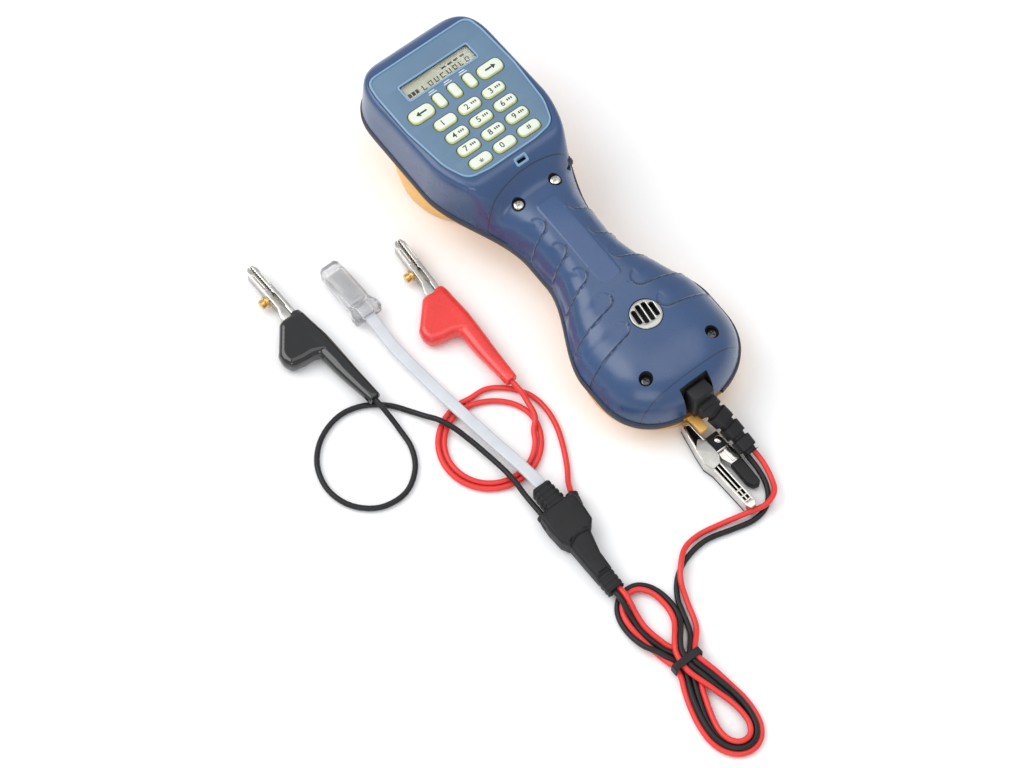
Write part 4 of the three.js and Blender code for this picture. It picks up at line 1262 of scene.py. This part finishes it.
def boot_mesh(place):
    """The vinyl boot and its fin as one soft skin."""
    route = [(2.0, 5, 5.9), (1.6, -4, 5.9), (2.2, -24, 5.9), (2.4, -40, 6.6), (3.3, -57, 7.5), (3.6, -62, 7.5)]
    fin = [(5, 3.6), (-5, 4.4), (-8.6, 3.6), (-20.2, -11), (-20.6, -15), (-19, -20.4), (-12, -22.2)]
    fin += [(-6, -22.6), (5, -27)]
    bead = [(-17.6, -10.6, 5.9), (-18.2, -15.6, 5.9), (-16.4, -18.6, 5.9), (-10, -19.6, 5.9), (-3, -20.6, 5.9)]

    def section(share):
        width = np.interp(share, [0, 0.06, 0.3, 0.6, 0.9, 1], [6.4, 8.6, 11.4, 10.4, 8.0, 7.2])
        height = np.interp(share, [0, 0.06, 0.3, 0.6, 0.9, 1], [8.0, 10.0, 10.8, 9.4, 7.0, 6.6])
        return oval(width, height, 28, 2.6)

    tube = swept(place(catmull(route, 5)), section)
    web = flat(rounded(fin, 2.2, 4), 0.9, 11.0, bevel=3.2, steps=5, place=place)
    rim = swept(place(catmull(bead, 6)), lambda share: oval(5.2, 8.6, 22, 2.4))
    return joined([tube, web, rim])


def build_lead_clips(p):
    for clip in LEAD_CLIPS:
        name, place = clip["name"], clip_place(clip)
        jaw_body = f"{name}_clip_jaw"
        boot = smoothed(boot_mesh(place), 0.55, 7)
        boot = cut(boot, block(-3.4, 3.4, -2, 12, 2.4, 9.4, place=place))
        tidy(boot, 60, 2e-6)
        obj = piece_of(f"{name}_clip_boot", boot, [FINISH[clip["vinyl"]]], body=None, slot=clip["slot"])
        start, end = place([(-2.4, -12, 5.9)])[0], place([(-8.4, -12, 5.9)])[0]
        one_in_frame(*start)
        one_in_frame(*end)
        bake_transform(obj)
        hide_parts(f"{name}_boot", f"{name}_boot_fin")
        for kind, side, body in (("fixed", 1, HANDSET), ("moving", -1, jaw_body)):
            jaw, nodes = half_jaw(side, place), [f"{name}_{kind}_jaw"]
            piece_of(f"{name}_clip_nose_{kind}", jaw, [FINISH["nickel"]], body, nodes, "nickel")
        screw = f"{name}_thumb_screw"
        piece_of(f"{name}_clip_screw", knurled_screw(place), [FINISH["brass"]], screw, [screw], "brass")


# ---------------------------------------------------------------- cord set

CORD = 3.0
MAIN_START = {
    "red": [(6.4, -16.5, 7.8), (6.8, -21, 7.4), (7, -28, 5.6), (5.2, -37, 4), (1, -44.6, 5), (-7, -47.6, 5.4)]
    + [(-17, -45.2, 4.4), (-30, -41, 1.8), (-44, -38.4, 1.8), (-54, -40, 3.8), (-61.5, -45.4, 5.4)]
    + [(-68, -53, 4.8), (-72, -63, 1.9), (-77, -76, 1.9)],
    "black": [(3.6, -16.5, 6.6), (3.4, -21, 5), (3.2, -30, 3), (1.4, -38, 1.8), (-2.6, -44.4, 1.8)]
    + [(-8.6, -48.4, 1.8), (-17, -49.4, 1.8), (-28.5, -46.6, 1.8), (-42, -43, 1.8), (-52, -43.4, 1.8)]
    + [(-61, -46, 1.8), (-68.6, -51, 1.8), (-74.6, -58.6, 1.8), (-77.4, -66, 1.8), (-81.6, -76.8, 1.8)],
}
HANK_OUTLINE = [
    (-87.5, -88), (-85.0, -103), (-82.9, -116), (-83.2, -127), (-85.8, -136), (-91, -141.6), (-97, -143),
    (-103.3, -141), (-108.4, -135), (-110.5, -127), (-109.2, -115), (-105, -102), (-99.5, -88), (-102.6, -78),
    (-105.4, -66), (-105.8, -56), (-103.8, -47), (-98.6, -41.0), (-92, -39.0), (-85.6, -40.6), (-80.8, -46.6),
    (-78.8, -56), (-80.0, -68), (-83.6, -79),
]
# Each cord's way round the hank: share of the outline gone, millimetres inside it, height. The pair
# crosses under the tie at 0 and 1 (above) and at LEFT and LEFT + 1 (below).
LEFT = 0.521
HANK_WAY = {
    "red": [
        (0.0, 0, 5.6), (0.04, 0, 5.4), (0.10, 0, 1.8), (LEFT - 0.06, 0, 1.8), (LEFT - 0.015, 0, 2.6),
        (LEFT + 0.015, 0, 2.6), (LEFT + 0.055, 1.6, 1.8), (LEFT + 0.09, 2.6, 1.9), (LEFT + 0.13, 2.5, 3.4),
        (0.70, 2.5, 3.5), (0.90, 3.2, 2.4), (0.94, 6.6, 4.6), (0.97, 9, 5.7), (1.04, 9, 5.7), (1.10, 7.6, 3.6),
        (1.16, 6.2, 4.2), (1.20, 5.6, 4.6), (1.32, 5.6, 4.6), (1.38, 7.0, 3.8), (LEFT + 0.90, 8.2, 3.1),
        (LEFT + 0.97, 9, 2.6), (LEFT + 1.02, 9, 2.4), (LEFT + 1.05, 8.2, 2.2), (1.645, 8.4, 3.0),
    ],
    "black": [
        (0.0, 3, 5.6), (0.04, 3, 5.4), (0.10, 2.5, 3.5), (LEFT - 0.06, 2.6, 3.3), (LEFT - 0.015, 3, 2.6),
        (LEFT + 0.015, 3, 2.6), (LEFT + 0.055, 1.6, 5.2), (LEFT + 0.09, 0, 4.2), (LEFT + 0.13, 0, 1.9),
        (0.70, 0, 1.8), (0.90, 0, 1.9), (0.94, 3.4, 4.4), (0.97, 6, 5.7), (1.04, 6, 5.7), (1.10, 5.0, 1.9),
        (LEFT + 0.88, 5, 1.8), (LEFT + 0.96, 6, 2.6), (LEFT + 1.02, 6, 2.5), (LEFT + 1.05, 5.4, 1.8),
        (1.645, 5.4, 2.4),
    ],
}


def hank_line():
    """The hank's outline as a function of the share of the way round, with its inward normal."""
    line = catmull([(x, y, 0) for x, y in HANK_OUTLINE], 10, closed=True)[:, :2]
    ring = np.vstack([line, line[:1]])
    run = np.concatenate([[0], np.cumsum(np.linalg.norm(np.diff(ring, axis=0), axis=1))])
    shares = run / run[-1]

    def spot(share):
        return np.array([np.interp(share, shares, ring[:, i]) for i in (0, 1)])

    def at(share):
        share = share % 1.0
        place = spot(share)
        tangent = spot((share + 0.012) % 1.0) - spot((share - 0.012) % 1.0)
        tangent /= max(np.linalg.norm(tangent), 1e-9)
        return place, np.array([tangent[1], -tangent[0]])

    return at


def hank_passes(name):
    """A cord's points on its way round the hank."""
    at = hank_line()
    way = np.array(HANK_WAY[name])
    points = []
    for s in np.linspace(0, way[-1, 0], 66):
        offset, height = np.interp(s, way[:, 0], way[:, 1]), np.interp(s, way[:, 0], way[:, 2])
        place, inward = at(s)
        place = place + inward * offset
        points.append((place[0], place[1], height))
    return points


MAIN_END = {
    "black": [(-99.8, -52.4, 3.8), (-99.3, -48.6, 5.6), (-98.8, -44.8, 6.7), (-98.3, -41, 6.8)]
    + [(-98.1, -36.6, 6.1), (-98, -28, 5.4), (-97, -14, 5.8), (-94.8, 4, 6)],
    "red": [(-96.8, -52.8, 3.9), (-96.2, -49, 5.6), (-95.7, -45, 6.7), (-95.2, -41, 6.8), (-95.1, -36.6, 6.1)]
    + [(-95, -28, 5.4), (-93.6, -14, 5.8), (-91.4, 4, 6)],
}


def main_route(name):
    return [*MAIN_START[name], *hank_passes(name), *MAIN_END[name]]


BLACK_LEAD = [
    (-100.2, 18.6, 5.5), (-99.7, 33, 4.6), (-99.4, 40, 5.6), (-99.4, 46.5, 5.6), (-99.6, 52, 5),
    (-100.6, 64, 3.6), (-102.6, 76, 4), (-105.4, 86, 5.6), (-108.6, 93.8, 5.6), (-111.6, 100, 3.4),
    (-115.6, 107.6, 1.8), (-122, 117, 1.8), (-133, 125.6, 1.8), (-146, 128.6, 1.8), (-161, 124, 1.8),
    (-172, 113, 1.8), (-176, 98, 1.8), (-172, 84, 1.8), (-161, 74, 1.8), (-146, 72.4, 1.8),
    (-134, 80, 1.8), (-128, 91, 1.8), (-126.6, 103, 2.4), (-127, 114, 6.4), (-127.4, 124.6, 7.4),
    (-128.2, 138, 6.9), (-129.2, 152, 6.2), (-130.2, 169, 6.2),
]
COIL = (-94.5, 68.5)


def red_lead_route():
    """From the splitter out round the coil, twice round, and into the boot."""
    start = [(-80.8, 18.8, 5.6), (-77.6, 25, 3), (-72, 33, 1.8), (-66, 44, 1.8), (-61.6, 55, 1.8)]
    start += [(-59.8, 66, 1.8), (-61, 76, 1.8), (-65.4, 84, 1.8), (-71.5, 90.4, 1.8), (-78, 94.0, 1.8)]
    turns = []
    for k in range(44):
        t = k / 43
        angle = math.radians(74.0 + 622.0 * t)
        settle = float(ease(0, 0.1, t))
        radius = 26.6 + 0.6 * (1 - settle) - 3.2 * float(ease(0.44, 0.56, t))
        height = 1.8 + (2.0 * float(ease(0.93, 1.0, t)))
        turns.append((COIL[0] + radius * math.cos(angle), COIL[1] + radius * math.sin(angle), height))
    end = [(-68.2, 64.0, 5.2), (-66.0, 73, 5.6), (-65.3, 80.5, 7.0), (-65.6, 89.4, 7.4), (-65, 101, 6.9)]
    end += [(-64.7, 113, 6.3), (-64.4, 134, 6.2)]
    return start + turns + end


def run_length(points):
    """The length in metres of a line of the drawing."""
    return float(np.linalg.norm(np.diff(np.asarray(points, float), axis=0), axis=1).sum()) * MM


def cord_curve(name, route, finish):
    """A round cord as one open spline through the route."""
    line = catmull(route, 5)
    curve = bpy.data.curves.new(name, "CURVE")
    curve.dimensions = "3D"
    curve.bevel_depth = CORD / 2 * MM
    curve.bevel_resolution = 4
    curve.use_fill_caps = True
    spline = curve.splines.new("POLY")
    spline.points.add(len(line) - 1)
    for k, q in enumerate(in_frame(line)):
        spline.points[k].co = (*q, 1)
    spline.use_smooth = True
    curve.materials.append(FINISH[finish])
    obj = link(bpy.data.objects.new(name, curve))
    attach(obj, HANDSET)
    return obj, run_length(line)


def build_main_cords(p):
    tie = flat(
        rectangle(-93.3, 4.3, 17.2, 8.2, 1.6, 4),
        -90.0,
        -86.0,
        [rectangle(-93.3, 4.3, 15.6, 6.4, 1.2, 4)],
        bevel=0.25,
        place=lambda q: np.stack([q[:, 0], q[:, 2], q[:, 1]], 1),
    )
    tidy(tie, 34, 2e-6)
    band = piece_of("hank_band", tie, [FINISH["rubber"]], nodes=["hank_tie"], slot="black_rubber")
    for name in ("red", "black"):
        route = main_route(name)
        obj, length = cord_curve(f"main_cord_{name}_wire", route, f"cord_{name}")
        nodes = ["main_cord_red", "main_cord_hank"] if name == "red" else ["main_cord_black"]
        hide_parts(*nodes)
        leaves, length = one_in_frame(*MAIN_START[name][1]), round(length, 3)


def build_leads(p):
    routes = {"black": BLACK_LEAD, "red": red_lead_route()}
    nodes = {"black": ["black_lead"], "red": ["red_lead_start", "red_lead_coil", "red_lead_end"]}
    for name, route in routes.items():
        obj, length = cord_curve(f"{name}_lead_wire", route, f"cord_{name}")
        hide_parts(*nodes[name])
        leaves, length = one_in_frame(*route[0]), round(length, 3)


def build_splitter(p):
    """The moulded splitter: a flat ribbed yoke with a collar for the flat cord and a ribbed tail."""
    shoulder = [(-86, 17.4), (-97.4, 17.4), (-103.4, 15.6), (-104.2, 8), (-103.9, -1.6), (-101.4, -6.4)]
    shoulder += [(-94.6, -3.6), (-87.4, -5.2), (-82.9, -0.6), (-81.7, 9), (-81.3, 15.4)]
    yoke = flat(rounded(shoulder, [2, 2, 2, 3, 2, 1, 6, 1, 2, 3, 2], 4), 1.0, 12.2, bevel=2.0, steps=4)
    neck = [(-85.6, 2), (-102.4, 2), (-101.4, -7), (-101.6, -18), (-101.6, -28), (-92.0, -28)]
    taper = flat(rounded([*neck, (-91.0, -17), (-87.4, -5)], 1.6, 4), 1.2, 10.8, bevel=2.2, steps=4)
    mouth = [(-97.8, 12), (-86.2, 12), (-86.8, 30.6), (-96.8, 30.6)]
    collar = flat(rounded(mouth, 1.4, 4), 1.4, 11.2, bevel=1.9, steps=4)
    ribs = []
    for k, y in enumerate((18.6, 21.6, 24.6, 27.6)):
        left, right = -97.6 + k * 0.2, -86.0 - k * 0.2
        rib = [(left, y), (right, y), (right, y + 2.1), (left, y + 2.1)]
        ribs.append(flat(rounded(rib, 0.4, 2), 1.2, 11.45, bevel=1.5, steps=3))
    arm = [(-2, 3.5), (2.2, 3.5), (2.5, 3.2), (3.1, 3.2), (3.4, 3.5), (4.9, 3.5), (5.3, 3.1), (5.4, 1.6)]
    arms = [turned(arm, (-100.6, 12.6, 5.6), (0.06, 1, 0), 28)]
    arms.append(turned(arm, (-82.8, 13.2, 5.6), (0.3, 1, 0), 28))
    tail_route = catmull([(-96.5, -18, 5.6), (-96.7, -26, 5.4), (-96.9, -37, 5.2)], 30)

    def tail_section(share):
        rib = 0.7 if (share * 6.0) % 1.0 < 0.6 and share > 0.3 else 0.0
        return oval(9.8 - 0.6 * share + rib, 8.4 - 0.8 * share + rib * 0.8, 28, 3.4)

    tail = swept(tail_route, tail_section, 30)
    mesh = assembled([yoke, taper, collar, tail, *ribs, *arms])
    piece_of("cord_splitter", mesh, [FINISH["rubber"]], nodes=["splitter"], slot="black_rubber")


FLAT_ROUTE = [
    (-99.6, 170, 5.6), (-99.6, 163, 5.6), (-100.3, 150, 5.5), (-100.6, 140, 5.4), (-99.9, 127, 5.4),
    (-99, 115, 5.4), (-97.9, 102, 5.5), (-96.6, 90, 5.6), (-95.2, 77, 5.7), (-93.8, 65, 5.8),
    (-92.5, 55, 6.0), (-91.4, 45, 6.2), (-90.8, 38, 6.4), (-90.6, 29.4, 6.6),
]


def build_flat_cord(p):
    route = catmull(FLAT_ROUTE[::-1], 6)
    width = 6.6
    section = rectangle(0, 0, width, 2.4, 1.1, 4)
    mesh = swept(route, lambda share: section, 50)
    obj = piece_of("flat_lead", mesh, [FINISH["silver"]], nodes=["flat_cord"], slot="silver_cord")
    path = [tuple(q) for q in in_frame(route)]
    length = round(run_length(route), 3)


def build_plug(p):
    """The modular plug in its clear vinyl sleeve."""
    x, y0 = -99.6, 163.4
    right = [(8.4, 0.2), (8.6, 4.4), (6.5, 9.5), (6.3, 30), (6.0, 35.6), (4.2, 37.6)]
    left = [(-a, b) for a, b in reversed(right)]
    radii = [1.5, 2, 5, 8, 2, 1.5]
    outline = rounded([(x + a, y0 + b) for a, b in right + left], radii + radii[::-1], 4)
    skin = smoothed(flat(outline, 0.8, 11, bevel=2.6, steps=4), 0.6, 4)
    hollow = block(x - 4.9, x + 4.9, y0 + 8, y0 + 32.4, 1.9, 9.2, 0.6)
    hollow = cut(hollow, block(x - 3.6, x + 3.6, y0 - 3, y0 + 9, 3.0, 7.6, 0.5), "UNION")
    skin = cut(skin, hollow)
    tidy(skin, 50, 2e-6)
    piece_of("plug_sleeve", skin, [FINISH["clear"]], nodes=["plug_boot"], slot="clear_plastic")
    shape = [(x - 4.6, y0 + 10), (x + 4.6, y0 + 10), (x + 4.6, y0 + 31.4), (x - 4.6, y0 + 31.4)]
    body = flat(rounded(shape, 0.6, 3), 2.1, 8.3, bevel=0.4)
    tongue = [(x - 2.4, y0 + 12), (x + 2.4, y0 + 12), (x + 1.8, y0 + 29), (x - 1.8, y0 + 29)]
    latch = flat(rounded(tongue, 0.4, 2), 8.2, 9.0, bevel=0.2)
    parts = [painted(body, 0), painted(latch, 0)]
    for k in range(6):
        side = x - 3.1 + 1.25 * k
        parts.append(painted(block(side, side + 0.6, y0 + 26, y0 + 31.2, 1.95, 3.4, 0.1), 1))
    mesh = assembled(parts)
    piece_of("plug_body", mesh, [FINISH["plug"], FINISH["brass"]], nodes=["modular_plug"], slot="clear_plastic")


# ---------------------------------------------------------------- what the housing holds


def dress_inner_parts(p):
    """The CAD nodes that stay as they are, with the finish of the real part."""
    kept = {"keypad_mat": "key", "circuit_board": "board"}
    kept.update(dict.fromkeys(("ear_receiver", "microphone", "battery"), "black"))
    for node, finish in kept.items():
        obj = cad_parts[node]
        obj.data.materials.clear()
        obj.data.materials.append(FINISH[finish])


# ---------------------------------------------------------------- stage


def build_camera(p):
    """Seen from over the tail, from its left, 1.5 metres away."""
    azimuth, height = math.radians(-38.37), math.radians(62.87)
    target = Vector((-0.07205, -0.03063, 0.025))
    across, up = math.cos(height), math.sin(height)
    back = Vector((math.sin(azimuth) * across, -math.cos(azimuth) * across, up))
    data = bpy.data.cameras.new("camera")
    data.sensor_width = 36
    data.lens = 36 * 3000 / 1024
    data.clip_start, data.clip_end = 0.05, 20
    camera = link(bpy.data.objects.new("camera", data))
    camera.location = target + back * 1.533
    camera.rotation_mode = "QUATERNION"
    camera.rotation_quaternion = (-back).to_track_quat("-Z", "Y")
    bpy.context.scene.camera = camera


def area_light(name, place, target, size, power):
    data = bpy.data.lights.new(name, "AREA")
    data.shape = "RECTANGLE"
    data.size, data.size_y = size
    data.energy = power
    light = link(bpy.data.objects.new(name, data))
    light.location = place
    light.rotation_euler = (Vector(target) - Vector(place)).to_track_quat("-Z", "Y").to_euler()


def build_stage(p):
    """A sheet of white paper, three soft lights and an even sky."""
    size, below, white = 3.0, -0.0002, (0.93, 0.93, 0.93)
    mesh = bpy.data.meshes.new("floor")
    corners = [(x * size, y * size, below) for x, y in ((-1, -1), (1, -1), (1, 1), (-1, 1))]
    mesh.from_pydata(corners, [], [(0, 1, 2, 3)])
    material, tree, shader, where = finish_base("floor_paper", white, 0.9)
    tree.tree.links.new(mottled(tree, where, white, 3.0, 0.004), shader.inputs["Base Color"])
    mesh.materials.append(material)
    floor = link(bpy.data.objects.new("floor", mesh))
    middle = (-0.05, 0, 0.02)
    area_light("key_light", (-0.7, 0.75, 1.25), middle, (1.3, 1.1), p.key_power)
    area_light("fill_light", (-1.0, -0.9, 0.9), middle, (1.0, 0.7), p.key_power * 0.35)
    area_light("top_light", (0.3, -0.1, 1.6), middle, (1.3, 1.3), p.key_power * 0.45)
    world = bpy.data.worlds.new("studio")
    bpy.context.scene.world = world
    world.use_nodes = True
    background = world.node_tree.nodes["Background"]
    background.inputs["Color"].default_value = (0.95, 0.97, 1.0, 1)
    background.inputs["Strength"].default_value = p.sky
    bpy.context.scene.view_settings.view_transform = "Standard"


# ---------------------------------------------------------------- add-on


def colour_property(name, description, default):
    facts = {"name": name, "description": description, "default": default, "subtype": "COLOR"}
    return bpy.props.FloatVectorProperty(size=3, min=0, max=1, **facts)


class HandsetLooks(bpy.types.PropertyGroup):
    """Colours and light that a user would change."""

    shell_colour: colour_property("Upper housing", "Colour of the upper housing", (0.021, 0.06, 0.158))
    plate_colour: colour_property("Face plate", "Colour of the plate round the keys", (0.115, 0.195, 0.29))
    rear_colour: colour_property("Rear housing", "Colour of the rear housing and its cups", (0.85, 0.46, 0.11))
    key_colour: colour_property("Keys", "Colour of the key caps", (0.76, 0.78, 0.64))
    red_colour: colour_property("Red cord", "Colour of the red cord, lead and boot", (0.72, 0.035, 0.03))
    black_colour: colour_property("Black cord", "Colour of the black cord and rubber", (0.013, 0.0128, 0.0138))
    key_power: bpy.props.FloatProperty(
        name="Key light", description="Power of the largest light", default=12.5, min=0, unit="POWER"
    )
    sky: bpy.props.FloatProperty(
        name="Sky", description="Strength of the light from all sides", default=0.72, min=0, soft_max=2, subtype="FACTOR"
    )


class HANDSET_OT_camera_and_finishes(bpy.types.Operator):
    """Makes the camera and every finish."""

    bl_idname = "handset.camera_and_finishes"
    bl_label = "Camera and finishes"

    def execute(self, context):
        build_camera(context.scene.handset_looks)
        make_finishes(context.scene.handset_looks)
        return {"FINISHED"}


class HANDSET_OT_cord_fittings(bpy.types.Operator):
    """Makes the splitter, the lead clips and the modular plug."""

    bl_idname = "handset.cord_fittings"
    bl_label = "Cord fittings"

    def execute(self, context):
        build_splitter(context.scene.handset_looks)
        build_lead_clips(context.scene.handset_looks)
        build_plug(context.scene.handset_looks)
        return {"FINISHED"}


class HANDSET_OT_cords(bpy.types.Operator):
    """Lays the main cords in their hank, the two leads and the flat cord."""

    bl_idname = "handset.cords"
    bl_label = "Cords"

    def execute(self, context):
        build_main_cords(context.scene.handset_looks)
        build_leads(context.scene.handset_looks)
        build_flat_cord(context.scene.handset_looks)
        return {"FINISHED"}


class HANDSET_OT_upper_housing(bpy.types.Operator):
    """Makes the upper housing with its grip pads and part lines."""

    bl_idname = "handset.upper_housing"
    bl_label = "Upper housing"

    def execute(self, context):
        build_upper_housing(context.scene.handset_looks)
        return {"FINISHED"}


class HANDSET_OT_rear_housing(bpy.types.Operator):
    """Makes the rear housing with its two cups."""

    bl_idname = "handset.rear_housing"
    bl_label = "Rear housing"

    def execute(self, context):
        build_rear_housing(context.scene.handset_looks)
        return {"FINISHED"}


class HANDSET_OT_seam_band(bpy.types.Operator):
    """Makes the rubber band at the seam."""

    bl_idname = "handset.seam_band"
    bl_label = "Seam band"

    def execute(self, context):
        build_gasket(context.scene.handset_looks)
        return {"FINISHED"}


class HANDSET_OT_face_plate(bpy.types.Operator):
    """Makes the face plate, the display and the port and switch beside them."""

    bl_idname = "handset.face_plate"
    bl_label = "Face plate"

    def execute(self, context):
        build_face_plate(context.scene.handset_looks)
        build_display(context.scene.handset_looks)
        build_small_face_parts(context.scene.handset_looks)
        return {"FINISHED"}


class HANDSET_OT_keys(bpy.types.Operator):
    """Makes the seventeen keys with their marks."""

    bl_idname = "handset.keys"
    bl_label = "Keys"

    def execute(self, context):
        build_keys(context.scene.handset_looks)
        return {"FINISHED"}


class HANDSET_OT_screws_and_speaker(bpy.types.Operator):
    """Makes the four case screws and the speaker cover."""

    bl_idname = "handset.screws_and_speaker"
    bl_label = "Screws and speaker"

    def execute(self, context):
        build_screws(context.scene.handset_looks)
        build_speaker(context.scene.handset_looks)
        return {"FINISHED"}


class HANDSET_OT_strain_relief(bpy.types.Operator):
    """Makes the ribbed sleeve where the cords leave the tail."""

    bl_idname = "handset.strain_relief"
    bl_label = "Strain relief"

    def execute(self, context):
        build_strain_relief(context.scene.handset_looks)
        return {"FINISHED"}


class HANDSET_OT_belt_clip(bpy.types.Operator):
    """Makes the belt clip and its lever."""

    bl_idname = "handset.belt_clip"
    bl_label = "Belt clip"

    def execute(self, context):
        build_belt_clip(context.scene.handset_looks)
        return {"FINISHED"}


class HANDSET_OT_inner_parts(bpy.types.Operator):
    """Gives the parts inside the housing their finishes."""

    bl_idname = "handset.inner_parts"
    bl_label = "Inner parts"

    def execute(self, context):
        dress_inner_parts(context.scene.handset_looks)
        return {"FINISHED"}


class HANDSET_OT_stage(bpy.types.Operator):
    """Makes the floor, the lights and the sky."""

    bl_idname = "handset.stage"
    bl_label = "Stage"

    def execute(self, context):
        build_stage(context.scene.handset_looks)
        return {"FINISHED"}


STEPS = [
    HANDSET_OT_camera_and_finishes,
    HANDSET_OT_cord_fittings,
    HANDSET_OT_cords,
    HANDSET_OT_upper_housing,
    HANDSET_OT_rear_housing,
    HANDSET_OT_seam_band,
    HANDSET_OT_face_plate,
    HANDSET_OT_keys,
    HANDSET_OT_screws_and_speaker,
    HANDSET_OT_strain_relief,
    HANDSET_OT_belt_clip,
    HANDSET_OT_inner_parts,
    HANDSET_OT_stage,
]


class HANDSET_PT_looks(bpy.types.Panel):
    """The handset's colours, and a button for each group of pieces."""

    bl_label = "Test handset"
    bl_idname = "HANDSET_PT_looks"
    bl_space_type = "VIEW_3D"
    bl_region_type = "UI"
    bl_category = "Test handset"

    def draw(self, context):
        looks = context.scene.handset_looks
        for name in HandsetLooks.__annotations__:
            self.layout.prop(looks, name)
        for made in STEPS:
            self.layout.operator(made.bl_idname)


CLASSES = [HandsetLooks, *STEPS, HANDSET_PT_looks]


def register():
    for made in CLASSES:
        bpy.utils.register_class(made)
    bpy.types.Scene.handset_looks = bpy.props.PointerProperty(type=HandsetLooks)


def unregister():
    del bpy.types.Scene.handset_looks
    for made in reversed(CLASSES):
        bpy.utils.unregister_class(made)


def main():
    register()
    for made in STEPS:
        area, name = made.bl_idname.split(".")
        getattr(getattr(bpy.ops, area), name)()


if __name__ == "__main__":
    main()
